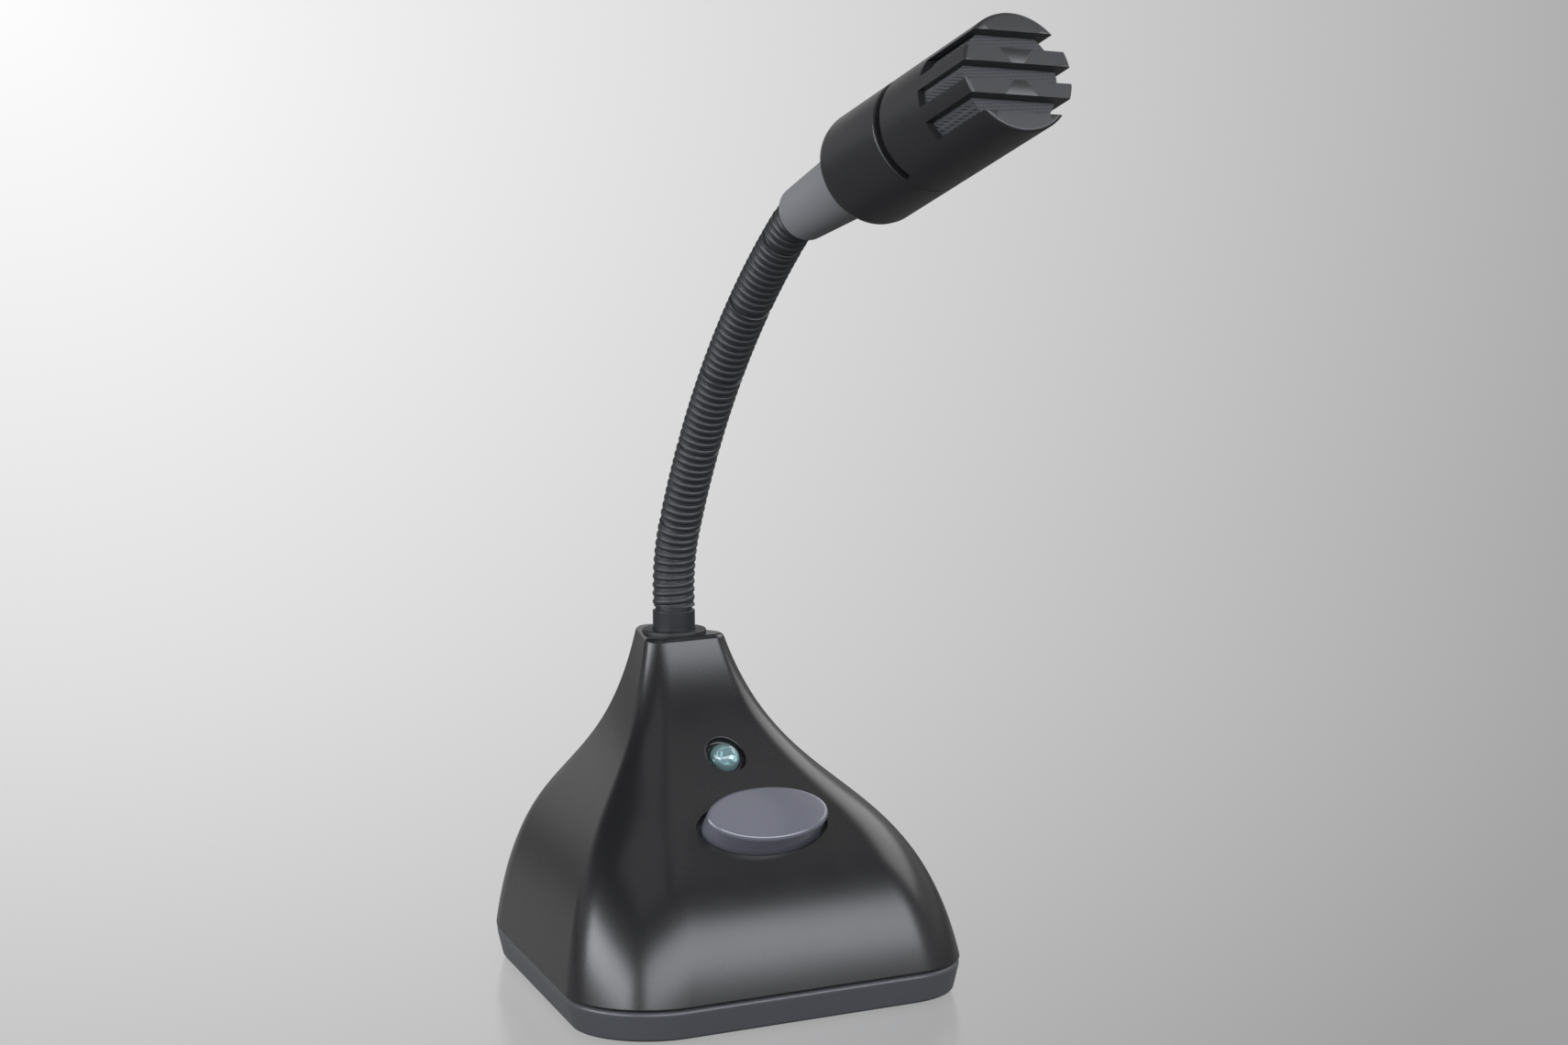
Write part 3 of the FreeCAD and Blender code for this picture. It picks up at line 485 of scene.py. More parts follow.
# ABS coloured blue-grey in the mass: a softer satin under a thin clear gloss, with pale flow marks.
BUTTON_ABS = Finish("blue_grey_abs", "#5d5e67", "#65666f", Pattern.MOULDED, 0.3, 0.15, 0.001,
                    mottle=0.6, spread=0.02, coat=0.8, coat_roughness=0.12)
# Thermoplastic rubber: matt, chalky grey.
CONE_RUBBER = Finish("grey_thermoplastic_rubber", "#747577", "#7d7e81", Pattern.MOULDED, 0.5, 0.16, 0.003)
# Hard steel wire under baked black enamel: semi-gloss, thin enough to keep the wire's drawing lines.
COIL_ENAMEL = Finish("black_enamelled_wire", "#26282a", "#303234", Pattern.DRAWN, 0.46, 0.2, 0.006)
FERRULE_ENAMEL = Finish("black_enamelled_ferrule", "#1e2022", "#26282a", Pattern.DRAWN, 0.38, 0.15, 0.003)
# Moulded PBT parts that are seen in gaps: plain black satin.
PART_PBT = Finish("black_pbt", "#17181a", "#1e1f21", Pattern.MOULDED, 0.4, 0.15, 0.005)
# Clear epoxy tinted teal: glass-smooth, with a slight flow variation inside.
LENS_EPOXY = Finish("teal_epoxy", "#a2c6ca", "#92babf", Pattern.CLEAR, 0.05, 2.0, 0.001, spread=0.02,
                    ior=1.53, transmission=0.7)
# Silver-plated steel stampings inside the light: bright, with the faint lines of the rolled strip.
SILVER_PLATE = Finish("silver_plate", "#d9dcdc", "#c8cdce", Pattern.DRAWN, 0.22, 0.1, 0.002, metallic=1.0)
# Fine black polyester gauze in front of the capsule: dull. Its thread crowns are painted paler and the
# hollows between them darker, as painted highlight and painted shade. Its threads are drawn at 0.5 mm,
# twice the real spacing, so that they show.
SCREEN_GAUZE_PAINTED_CROWNS = Finish("black_gauze_painted_crown_highlight", "#1c1d1f", "#48494c", Pattern.WOVEN, 0.75, 0.5, 0.06,
                      mottle=1.0, spread=0.1)
# Brass turned and plated with nickel: a warm grey shine with fine turning lines.
NICKEL_BRASS = Finish("nickel_plated_brass", "#b9b4a8", "#a8a396", Pattern.DRAWN, 0.28, 0.12, 0.003,
                      metallic=1.0)
# Steel plated with zinc: cool grey, a little clouded.
ZINC_STEEL = Finish("zinc_plated_steel", "#a9acb0", "#94979c", Pattern.DRAWN, 0.33, 0.12, 0.004,
                    metallic=1.0)
# Aluminium drawn into a can: pale, with lines along the draw.
CAN_ALUMINIUM = Finish("drawn_aluminium", "#c4c6c8", "#b4b6b9", Pattern.DRAWN, 0.3, 0.15, 0.003,
                       metallic=1.0)
# Mild steel blanked from plate and oiled: dark brown-grey, blotchy and slightly rough.
BALLAST_STEEL = Finish("oiled_blanked_steel", "#4a4744", "#39352f", Pattern.CAST, 0.48, 0.6, 0.03,
                       metallic=1.0, mottle=0.8)
# Natural rubber from a mould: dead black and matt.
FOOT_RUBBER = Finish("black_rubber", "#1b1b1c", "#242425", Pattern.CAST, 0.7, 0.3, 0.02)
# Glass cloth in epoxy under green solder mask: smooth, with the cloth's weave just visible.
BOARD_LAMINATE = Finish("green_epoxy_laminate", "#14502f", "#1b6139", Pattern.WOVEN, 0.35, 0.6, 0.004)
# Nylon moulded uncoloured: ivory, faintly waxy.
PLUG_NYLON = Finish("ivory_nylon", "#d9d3c2", "#ccc5b1", Pattern.MOULDED, 0.42, 0.2, 0.005)
# Soft PVC drawn over the wires: smooth dark grey.
LEAD_VINYL = Finish("grey_vinyl", "#2d2d30", "#38383b", Pattern.MOULDED, 0.45, 0.25, 0.006)
# Open-cell polyurethane foam: dry, with visible cells. The pale one is padding, the black one a wind
# screen.
PAD_FOAM = Finish("pale_foam", "#c9c5b8", "#aba693", Pattern.FOAMED, 0.85, 0.5, 0.08, mottle=0.8)
SCREEN_FOAM = Finish("black_foam", "#1d1d1e", "#2c2c2d", Pattern.FOAMED, 0.9, 0.5, 0.1, mottle=0.8)

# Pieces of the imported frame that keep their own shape, and what each is made of.
KEPT_NODES: dict[str, Finish] = {
    "left_foot": FOOT_RUBBER, "right_foot": FOOT_RUBBER, "rear_foot": FOOT_RUBBER,
    "case_screws": ZINC_STEEL, "board_screws": ZINC_STEEL, "neck_washer": ZINC_STEEL,
    "ballast_pad": PAD_FOAM, "ballast_plate": BALLAST_STEEL,
    "switch_body": PART_PBT, "switch_plunger": PART_PBT, "amplifier_chip": PART_PBT,
    "control_board": BOARD_LAMINATE, "head_board": BOARD_LAMINATE,
    "mic_connector": PLUG_NYLON, "jack_connector": PLUG_NYLON,
    "mic_wire": LEAD_VINYL, "jack_wire": LEAD_VINYL, "head_wire": LEAD_VINYL,
    "neck_nut": NICKEL_BRASS, "head_nut": NICKEL_BRASS,
    "screen_cup": SCREEN_GAUZE_PAINTED_CROWNS, "foam_disc": SCREEN_FOAM, "capsule_boot": FOOT_RUBBER,
    "mic_capsule": CAN_ALUMINIUM,
}


# ------------------------------------------------------------------ making pieces
class Shading(Enum):
    """How a piece's faces are shaded."""

    WEIGHTED = "flat faces stay flat, roundings blend"
    GIVEN = "normals come with the shape"
    SMOOTH = "smooth all over"


@dataclass(frozen=True)
class Piece:
    """What a visible piece is called, is made of, moves with and stands for."""

    name: str
    finish: Finish
    slot: str
    stands_for: tuple[str, ...] = ()
    shading: Shading = Shading.WEIGHTED


SHARP_ANGLE = math.radians(35)


def make_object(piece: Piece, shape: Shape) -> bpy.types.Object:
    """Makes a piece's mesh object, in metres.

    Args:
        piece: Its name, finish and slot.
        shape: Its points and faces.

    Returns:
        The object, which rides on nothing yet.
    """
    mesh = bpy.data.meshes.new(piece.name)
    mesh.from_pydata([p * MM for p in shape.points], [], shape.faces)
    work = bmesh.new()
    work.from_mesh(mesh)
    bmesh.ops.recalc_face_normals(work, faces=work.faces)
    work.to_mesh(mesh)
    work.free()
    mesh.shade_smooth()
    if piece.shading is Shading.GIVEN:
        keep_auto = Vector((0, 0, 0))
        mesh.normals_split_custom_set_from_vertices(
            [shape.normals.get(k, keep_auto) for k in range(len(shape.points))])
    made = bpy.data.objects.new(piece.name, mesh)
    bpy.context.scene.collection.objects.link(made)
    if piece.shading is Shading.WEIGHTED:
        mesh.set_sharp_from_angle(angle=SHARP_ANGLE)
        made.modifiers.new("weighted", "WEIGHTED_NORMAL").keep_sharp = True
    mesh.materials.append(piece.finish.material())
    if piece.stands_for:
        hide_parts(*piece.stands_for)
    LOG.info("%s: %d faces, %s", piece.name, len(mesh.polygons), piece.finish.name)
    return made


def make_rider(piece: Piece, shape: Shape, body: str) -> bpy.types.Object:
    """Makes a piece that moves with one body.

    Args:
        piece: Its name, finish and slot.
        shape: Its points and faces.
        body: The body.

    Returns:
        The object.
    """
    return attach(make_object(piece, shape), body)


def corners_of(node: str) -> tuple[Vector, Vector]:
    """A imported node's lowest and highest corners, in millimetres."""
    low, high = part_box(node)
    return low / MM, high / MM


# ------------------------------------------------------------------ the base's form
@dataclass(frozen=True)
class Outline:
    """A rounded triangle: arcs about three corner centres, with tangent lines between.

    Its two front corners are mirror images, its third is at the rear.
    """

    corner_x: float
    front_y: float
    corner_r: float
    rear_y: float
    rear_r: float

    def centres(self) -> list[Vector]:
        """Middles of the right, rear and left corners."""
        return [Vector((self.corner_x, -self.front_y)), Vector((0.0, self.rear_y)),
                Vector((-self.corner_x, -self.front_y))]

    def radii(self) -> tuple[float, float, float]:
        """Radii of the right, rear and left corners."""
        return self.corner_r, self.rear_r, self.corner_r

    def side_normals(self) -> list[Vector]:
        """Outward normals of the sides that follow each corner, counter-clockwise.

        Returns:
            The normals, one for each side.
        """
        centres, radii = self.centres(), self.radii()
        normals = []
        for k in range(3):
            side = centres[(k + 1) % 3] - centres[k]
            lean = (radii[k] - radii[(k + 1) % 3]) / side.length
            along = side.normalized()
            normals.append(Vector((along.y, -along.x)) * math.sqrt(1 - lean * lean) + along * lean)
        return normals

    def side(self, k: int, inset: float) -> tuple[Vector, Vector]:
        """Both ends of the side after corner k.

        Args:
            k: The corner, from 0.
            inset: How far inside the outline.

        Returns:
            The two ends.
        """
        after, normal, radii = (k + 1) % 3, self.side_normals()[k], self.radii()
        centres = self.centres()
        return centres[k] + normal * (radii[k] - inset), centres[after] + normal * (radii[after] - inset)

    def sector(self, k: int) -> tuple[float, float]:
        """Angle at which corner k's arc starts, and how far it turns.

        Args:
            k: The corner, from 0.

        Returns:
            Both angles, in radians.
        """
        normals = self.side_normals()
        start = math.atan2(normals[k - 1].y, normals[k - 1].x)
        return start, (math.atan2(normals[k].y, normals[k].x) - start) % (2 * math.pi)

    def blended(self, other: "Outline", share: float) -> "Outline":
        """The outline part of the way to another.

        Args:
            other: The outline it comes to.
            share: How much of the way, from 0 to 1.

        Returns:
            The outline in between.
        """
        pairs = zip((self.corner_x, self.front_y, self.corner_r, self.rear_y, self.rear_r),
                    (other.corner_x, other.front_y, other.corner_r, other.rear_y, other.rear_r))
        return Outline(*[a + (b - a) * share for a, b in pairs])

    def at(self, station: float, inset: float) -> Vector:
        """A point of the outline.

        Args:
            station: Where round it: corner k is k to k + 0.5, and the side after it k + 0.5 to k + 1.
            inset: How far inside the outline.

        Returns:
            The point in the plane.
        """
        k, share = int(station) % 3, (station - math.floor(station)) * 2
        if share < 1:
            start, sweep = self.sector(k)
            angle = start + share * sweep
            spoke = Vector((math.cos(angle), math.sin(angle)))
            return self.centres()[k] + spoke * (self.radii()[k] - inset)
        start, end = self.side(k, inset)
        return start.lerp(end, share - 1)

    def station_of(self, point: Vector) -> float:
        """Where round the outline a point on it, or just off it, lies.

        Args:
            point: The point in the plane.

        Returns:
            Its station, as at() takes it.
        """
        normals = self.side_normals()
        best = (math.inf, 0.0)
        for k, (centre, radius) in enumerate(zip(self.centres(), self.radii())):
            start, end = self.side(k, 0.0)
            along = (point - start).dot(end - start) / (end - start).length_squared
            if 0 <= along <= 1:
                best = min(best, (abs((point - start).dot(normals[k])), k + 0.5 + along / 2))
            spoke = point - centre
            first, sweep = self.sector(k)
            turn = (math.atan2(spoke.y, spoke.x) - first) % (2 * math.pi)
            if turn <= sweep:
                best = min(best, (abs(spoke.length - radius), k + 0.5 * turn / sweep))
        return best[1]

    def beyond(self, point: Vector) -> float:
        """How far outside the outline a point is; inside it is negative.

        Args:
            point: The point in the plane.

        Returns:
            The distance.
        """
        normals = self.side_normals()
        farthest = -math.inf
        for k, (centre, radius) in enumerate(zip(self.centres(), self.radii())):
            spoke = point - centre
            farthest = max(farthest, spoke.dot(normals[k]) - radius)
            start, sweep = self.sector(k)
            if (math.atan2(spoke.y, spoke.x) - start) % (2 * math.pi) <= sweep:
                farthest = max(farthest, spoke.length - radius)
        return farthest


@dataclass(frozen=True)
class BellForm:
    """The bell: the base outline shrinks to the top one along a cubic curve with two handles."""

    low: float
    high: float
    base: Outline = Outline(22.9, 31.6, 15.1, 16.0, 25.8)
    top: Outline = Outline(4.6, 3.6, 3.0, 8.0, 3.0)
    lower_handle: float = 34.7
    upper_handle: float = 31.1
    lower_spread: float = 0.81
    upper_spread: float = 0.26
    corner_steps: int = 22
    side_steps: int = 12
    seam: float = 0.75
    halvings: int = 40
    slope_step: float = 0.02

    def height_at(self, t: float) -> float:
        """Height of the curve's point t.

        Args:
            t: How far along the curve, from 0 to 1.

        Returns:
            The height.
        """
        rest = 1 - t
        low_part = rest ** 3 * self.low + 3 * t * rest ** 2 * (self.low + self.lower_handle)
        return low_part + 3 * t * t * rest * (self.high - self.upper_handle) + t ** 3 * self.high

    @lru_cache(maxsize=4096)
    def outline(self, z: float) -> Outline:
        """The outline at a height.

        Args:
            z: The height; the end outlines hold above and below the bell.

        Returns:
            The outline there.
        """
        low, high = 0.0, 1.0
        for _ in range(self.halvings):
            middle = (low + high) / 2
            low, high = (middle, high) if self.height_at(middle) < z else (low, middle)
        t = (low + high) / 2
        rest = 1 - t
        spread = rest ** 3 + 3 * t * rest ** 2 * self.lower_spread + 3 * t * t * rest * self.upper_spread
        return self.top.blended(self.base, spread)

    def at(self, station: float, z: float, inset: float = 0.0) -> Vector:
        """A point of the bell's surface, or of one inside it."""
        return self.outline(z).at(station, inset).to_3d() + Z_AXIS * z

    def beyond(self, point: Vector) -> float:
        """How far outside the bell a point is, measured level."""
        return self.outline(round(point.z, 5)).beyond(point.xy)

    def normal(self, point: Vector) -> Vector:
        """Outward normal at a point of the surface.

        Args:
            point: The point.

        Returns:
            The normal, found from small steps along each axis.
        """
        steps = [axis * self.slope_step for axis in (X_AXIS, Y_AXIS, Z_AXIS)]
        slopes = [self.beyond(point + step) - self.beyond(point - step) for step in steps]
        return Vector(slopes).normalized()

    def stations(self) -> list[float]:
        """Stations round the bell from the seam to the seam again, closer on the corners.

        Returns:
            The stations, the last one a whole turn past the first.
        """
        found = [self.seam]
        for half in range(7):
            start = max(self.seam, 0.5 + half / 2)
            end = min(self.seam + 3, 1.0 + half / 2)
            steps = self.side_steps if half % 2 == 0 else self.corner_steps
            steps = round(steps * (end - start) * 2)
            found += [start + (end - start) * (k + 1) / steps for k in range(steps)]
        return found

    def front_y(self, z: float) -> float:
        """Y of the front face at a height."""
        here = self.outline(z)
        return -(here.front_y + here.corner_r)

    def rear_y(self, z: float) -> float:
        """Y of the rear corner at a height."""
        here = self.outline(z)
        return here.rear_y + here.rear_r

    def face_frame(self, z: float) -> Matrix:
        """Frame on the front face's middle line at a height: X across, Y up the slope, Z out.

        Args:
            z: The height.

        Returns:
            The frame.
        """
        step = 0.5
        up = Vector((0, self.front_y(z + step) - self.front_y(z - step), 2 * step)).normalized()
        return framed(Vector((0, self.front_y(z), z)), X_AXIS, up, X_AXIS.cross(up))


@dataclass(frozen=True)
class Opening:
    """A hole through the bell with a rounded mouth, along its frame's Z.

    Steps are the rings between the mouth and the inside: each is a half size and a height in the frame.
    """

    frame: Matrix
    half_w: float
    half_h: float
    edge_r: float
    inner_w: float
    inner_h: float
    steps: tuple[tuple[float, float], ...] = ()
    points: int = 72
    reach: float = 12.0
    halvings: int = 34

    def offset(self, k: int, half_w: float, half_h: float) -> Vector:
        """Point k of an ellipse in the frame's own XY plane."""
        angle = 2 * math.pi * k / self.points
        return Vector((half_w * math.cos(angle), half_h * math.sin(angle), 0))

    def meets(self, form: BellForm, inset: float, grow: float, inner: bool) -> list[Vector]:
        """Where the hole's wall meets the bell's surface, or one inside it.

        Args:
            form: The bell.
            inset: How far inside the bell that surface lies.
            grow: How much wider than the hole to look.
            inner: True for the hole's inner end.

        Returns:
            One point for each of the hole's points.
        """
        half_w, half_h = (self.inner_w, self.inner_h) if inner else (self.half_w + grow, self.half_h + grow)
        found = []
        for k in range(self.points):
            flat = self.offset(k, half_w, half_h)
            low, high = -self.reach, self.reach
            for _ in range(self.halvings):
                middle = (low + high) / 2
                outside = form.beyond(self.frame @ (flat + Z_AXIS * middle)) + inset > 0
                low, high = (low, middle) if outside else (middle, high)
            found.append(self.frame @ (flat + Z_AXIS * (low + high) / 2))
        return found

    def holds(self, point: Vector, grow: float, inner: bool) -> bool:
        """Whether a point of the skin lies in the hole.

        Args:
            point: The point.
            grow: How much wider than the hole still counts.
            inner: True for the hole's inner end.

        Returns:
            True if it does.
        """
        local = self.frame.inverted() @ point
        half_w, half_h = (self.inner_w, self.inner_h) if inner else (self.half_w, self.half_h)
        inside = (local.x / (half_w + grow)) ** 2 + (local.y / (half_h + grow)) ** 2 < 1
        return inside and abs(local.z) < self.reach

    def inward(self, k: int) -> Vector:
        """Direction from the wall at point k into the hole.

        Args:
            k: The point, from 0.

        Returns:
            The direction.
        """
        angle = 2 * math.pi * k / self.points
        flat = Vector((-math.cos(angle) / self.half_w, -math.sin(angle) / self.half_h, 0))
        return (self.frame.to_3x3() @ flat).normalized()


@dataclass
class Skin:
    """One side of the shell's wall: its lowest and highest rings and the ring round each hole."""

    bottom: list[int]
    top: list[int]
    holes: list[list[int]]


# ------------------------------------------------------------------ base
@dataclass
class Base:
    """Bell-shaped shell, tray, button, light and jack."""

    form: BellForm
    wall: float = 2.8
    crown: float = 11.0
    top_edge: float = 0.7
    foot_edge: float = 0.4
    skin_rows: int = 46
    skin_margin: float = 0.5
    station_scale: float = 40.0
    edge_steps: int = 4
    neck_hole_r: float = 5.0
    neck_hole_edge: float = 0.2
    button_mouth: float = 0.35
    small_mouth: float = 0.3
    button_height: float = 32.8
    button_w: float = 11.9
    button_h: float = 5.9
    button_proud: float = 4.0
    button_edge: float = 0.8
    button_dome: float = 0.5
    button_edge_steps: int = 6
    button_dome_steps: int = 12
    button_end_gap: float = 0.9
    button_side_gap: float = 0.3
    flange: float = 1.6
    flange_thick: float = 1.2
    flange_gap: float = 1.1
    stem_r: float = 2.2
    stem: float = 1.6
    light_height: float = 43.1
    light_r: float = 2.8
    light_proud: float = 1.6
    light_length: float = 8.6
    light_rim: float = 0.35
    light_rim_thick: float = 1.0
    light_steps: int = 12
    light_hole_r: float = 3.7
    holder_r: float = 3.6
    holder_bore_r: float = 2.85
    holder_sunk: float = 1.0
    holder_length: float = 4.2
    holder_flange: float = 1.0
    jack_height: float = 14.5
    jack_seat_wall: float = 1.8
    jack_seat_r: float = 5.4
    jack_hole_r: float = 3.05
    jack_nut_r: float = 4.8
    jack_nut_thick: float = 1.6
    jack_bush_r: float = 3.0
    jack_bush_proud: float = 0.6
    jack_bore_r: float = 1.8
    jack_bore_depth: float = 14.0
    jack_body: float = 9.0
    jack_chamfer: float = 0.5
    jack_axis_r: float = 0.05
    knurl_teeth: int = 36
    knurl_depth: float = 0.18
    nut_bevel: float = 0.35
    nut_mouth_bevel: float = 0.2
    tray_taper: float = 1.3
    tray_edge: float = 0.8
    tray_lip_inset: float = 3.6
    tray_lip_wall: float = 1.6
    tray_lip_height: float = 2.2
    tray_lip_edge: float = 0.3
    tray_rim: float = 2.0
    tray_floor: float = 2.0
    screw_inset: float = 8.0
    screw_recess_r: float = 3.3
    screw_recess: float = 1.4
    foot_outset: float = 4.0
    foot_recess_r: float = 5.1
    foot_recess: float = 0.8
    recess_steps: int = 40

    def build(self) -> None:
        """Makes every visible piece of the base."""
        self.build_shell()
        self.build_tray()
        self.build_button()
        self.build_light()
        self.build_jack()

    # -- shell
    def wall_square(self) -> float:
        """Thickness of the shell, square to the front face at the button."""
        out = self.form.face_frame(self.button_height).col[2]
        return self.wall * abs(out.y)

    def flange_top(self) -> float:
        """Where the button's flange starts, below the face."""
        return -(self.wall_square() + self.flange_gap)

    def light_frame(self) -> Matrix:
        """Frame of the light: parallel to the button's, where its axis meets the face.

        Returns:
            The frame.
        """
        place = self.form.face_frame(self.button_height)
        place.translation = Vector((0, self.form.front_y(self.light_height), self.light_height))
        return place

    def jack_seat(self) -> Vector:
        """Middle of the flat that the jack's nut bears on."""
        seat_y = self.form.rear_y(self.jack_height) - self.wall + self.jack_seat_wall
        return Vector((0, seat_y, self.jack_height))

    def jack_frame(self) -> Matrix:
        """Frame of the jack: Z points out of its mouth."""
        return framed(self.jack_seat(), X_AXIS * -1, Z_AXIS, Y_AXIS)

    def openings(self) -> list[Opening]:
        """The holes for the button, the light and the jack.

        Returns:
            The holes, in that order.
        """
        half_w = self.button_w + self.button_end_gap
        half_h = self.button_h + self.button_side_gap
        hole, seat, bush = self.light_hole_r, self.jack_seat_r, self.jack_hole_r
        mouth, small = self.button_mouth, self.small_mouth
        return [
            Opening(self.form.face_frame(self.button_height), half_w, half_h, mouth, half_w, half_h),
            Opening(self.light_frame(), hole, hole, small, hole, hole, points=48, reach=6.0),
            Opening(self.jack_frame(), seat, seat, small, bush, bush,
                    steps=((seat, 0.0), (bush, 0.0)), points=48),
        ]

    def skin(self, shape: Shape, inset: float, low: float, high: float, openings: Sequence[Opening],
             inner: bool) -> Skin:
        """Adds one side of the shell's wall, with its holes.

        Args:
            shape: The shape that takes it.
            inset: How far inside the bell's surface it lies.
            low: Its lowest height.
            high: Its highest height.
            openings: The holes.
            inner: True for the inner side, whose holes may be smaller.

        Returns:
            The rings that the rest of the shell joins.
        """
        form = self.form
        stations = form.stations()
        heights = [low + (high - low) * k / self.skin_rows for k in range(self.skin_rows + 1)]
        last_row, last_column = len(heights) - 1, len(stations) - 1
        flat: list[Vector] = []
        number: list[int] = []
        grid: dict[tuple[int, int], int] = {}
        grow = self.skin_margin + (0 if inner else self.button_mouth)
        for j, z in enumerate(heights):
            for i, station in enumerate(stations):
                if i == last_column:
                    index = number[grid[0, j]]
                else:
                    point = form.at(station, z, inset)
                    edge = j in (0, last_row) or i == 0
                    if not edge and any(o.holds(point, grow, inner) for o in openings):
                        continue
                    index = shape.ring([point], [form.normal(point)])[0]
                grid[i, j] = len(flat)
                flat.append(Vector((station * self.station_scale, z)))
                number.append(index)
        limits = [(grid[i, j], grid[i + 1, j]) for j in (0, last_row) for i in range(last_column)]
        limits += [(grid[i, j], grid[i, j + 1]) for i in (0, last_column) for j in range(last_row)]
        holes = []
        for opening in openings:
            points = opening.meets(form, inset, 0.0 if inner else opening.edge_r, inner)
            first = len(flat)
            holes.append(shape.ring(points, [form.normal(p) for p in points]))
            number += holes[-1]
            for point in points:
                station = form.outline(round(point.z, 5)).station_of(point.xy)
                station += 3 if station < form.seam else 0
                flat.append(Vector((station * self.station_scale, point.z)))
            count = len(points)
            limits += [(first + k, first + (k + 1) % count) for k in range(count)]
        spots, _, triangles, sources, _, _ = delaunay_2d_cdt(flat, limits, [], 0, NET_TOLERANCE)
        for triangle in triangles:
            middle = sum((spots[k] for k in triangle), Vector((0, 0))) / 3
            point = form.at(middle.x / self.station_scale, middle.y, inset)
            in_hole = any(o.holds(point, 0.0 if inner else o.edge_r, inner) for o in openings)
            if not in_hole and all(sources[k] for k in triangle):
                shape.faces.append(tuple(number[sources[k][0]] for k in triangle))
        bottom = [number[grid[i, 0]] for i in range(last_column)]
        top = [number[grid[i, last_row]] for i in range(last_column)]
        return Skin(bottom, top, holes)

    def edge_rings(self, shape: Shape, end: float, rounding: float, way: int) -> list[list[int]]:
        """Adds the rings of the bell's rounded edge.

        Args:
            shape: The shape that takes them.
            end: Height at which the bell ends.
            rounding: Radius of the edge.
            way: 1 for the edge at the top, -1 for the one at the foot.

        Returns:
            The rings' numbers, from the bell's surface inwards.
        """
        rings = []
        for k in range(1, self.edge_steps + 1):
            turn = math.pi / 2 * k / self.edge_steps
            inset = rounding * (1 - math.cos(turn))
            level = end - way * rounding * (1 - math.sin(turn))
            points, normals = [], []
            for station in self.form.stations()[:-1]:
                own = self.form.normal(self.form.at(station, level))
                points.append(self.form.at(station, level, inset))
                normals.append((own * math.cos(turn) + Z_AXIS * way * math.sin(turn)).normalized())
            rings.append(shape.ring(points, normals))
        return rings

    def build_shell(self) -> None:
        """Makes the bell-shaped upper shell as one closed wall with its three holes."""
        form, shape = self.form, Shape()
        openings = self.openings()
        outer = self.skin(shape, 0.0, form.low + self.foot_edge, form.high - self.top_edge, openings, False)
        crown_z = form.high - self.crown
        inner = self.skin(shape, self.wall, form.low, crown_z, openings, True)
        rings = [outer.top] + self.edge_rings(shape, form.high, self.top_edge, 1)
        flat_up = [Z_AXIS] * len(outer.top)
        spokes = [shape.points[k].xy.normalized().to_3d() for k in rings[-1]]
        for reach in (self.neck_hole_r + self.neck_hole_edge, self.neck_hole_r):
            rings.append(shape.ring([d * reach + Z_AXIS * form.high for d in spokes], flat_up))
        rings.append(shape.ring([d * self.neck_hole_r + Z_AXIS * crown_z for d in spokes]))
        shape.skin(rings + [inner.top])
        rings = [outer.bottom] + self.edge_rings(shape, form.low, self.foot_edge, -1)
        shape.skin(rings + [inner.bottom])
        for opening, mouth, inside in zip(openings, outer.holes, inner.holes):
            self.line_hole(shape, opening, mouth, inside)
        piece = Piece("upper_shell_visible", SHELL_ABS, "shell_plastic", ("upper_shell",), Shading.GIVEN)
        make_rider(piece, shape, "base")

    def line_hole(self, shape: Shape, opening: Opening, mouth: list[int], inside: list[int]) -> None:
        """Adds a hole's rounded mouth and its wall.

        Args:
            shape: The shell.
            opening: The hole.
            mouth: Its ring in the outer skin.
            inside: Its ring in the inner skin.
        """
        rings = [mouth]
        for step in range(1, self.edge_steps + 1):
            turn = math.pi / 2 * step / self.edge_steps
            points, normals = [], []
            for k, index in enumerate(mouth):
                own, inward = shape.normals[index], opening.inward(k)
                middle = shape.points[index] - own * opening.edge_r
                normal = (own * math.cos(turn) + inward * math.sin(turn)).normalized()
                points.append(middle + normal * opening.edge_r)
                normals.append(normal)
            rings.append(shape.ring(points, normals))
        for half, level in opening.steps:
            spots = [opening.offset(k, half, half) + Z_AXIS * level for k in range(opening.points)]
            rings.append(shape.ring(opening.frame @ spot for spot in spots))
        rings.append(inside)
        shape.skin(rings)

    # -- tray
    def corner_points(self, outset: float, z: float) -> list[Vector]:
        """Points as far inside the three corners as the front centres, moved out from the neck's axis.

        Args:
            outset: How far they are moved out.
            z: Their height.

        Returns:
            The right, rear and left points.
        """
        base = self.form.base
        spots = base.centres()
        spots[1].y += base.rear_r - base.corner_r
        return [(spot * ((spot.length + outset) / spot.length)).to_3d() + Z_AXIS * z for spot in spots]

    def build_tray(self) -> None:
        """Makes the tray: tapered band, rounded lower edge, lip inside the shell and recesses below."""
        low, high = corners_of("base_tray")
        bottom, parting = low.z, high.z - self.tray_lip_height
        lip_in = self.tray_lip_inset + self.tray_lip_wall
        profile = rounded([
            Corner(-self.tray_taper - self.tray_rim, bottom),
            Corner(-self.tray_taper, bottom, self.tray_edge), Corner(0.0, parting, self.tray_edge),
            Corner(-self.tray_lip_inset, parting), Corner(-self.tray_lip_inset, high.z, self.tray_lip_edge),
            Corner(-lip_in, high.z, self.tray_lip_edge),
            Corner(-lip_in, bottom + self.tray_floor)])
        shape = Shape()
        stations = self.form.stations()[:-1]
        rings = [shape.ring(self.form.base.at(s, -out).to_3d() + Z_AXIS * z for s in stations)
                 for out, z in profile]
        shape.skin(rings)
        shape.close(rings[-1])
        kinds = ((self.foot_outset, self.foot_recess_r, self.foot_recess),
                 (-self.screw_inset, self.screw_recess_r, self.screw_recess))
        recesses = [(p, radius, depth) for outset, radius, depth in kinds
                    for p in self.corner_points(outset, bottom)]
        self.close_with_recesses(shape, rings[0], recesses)
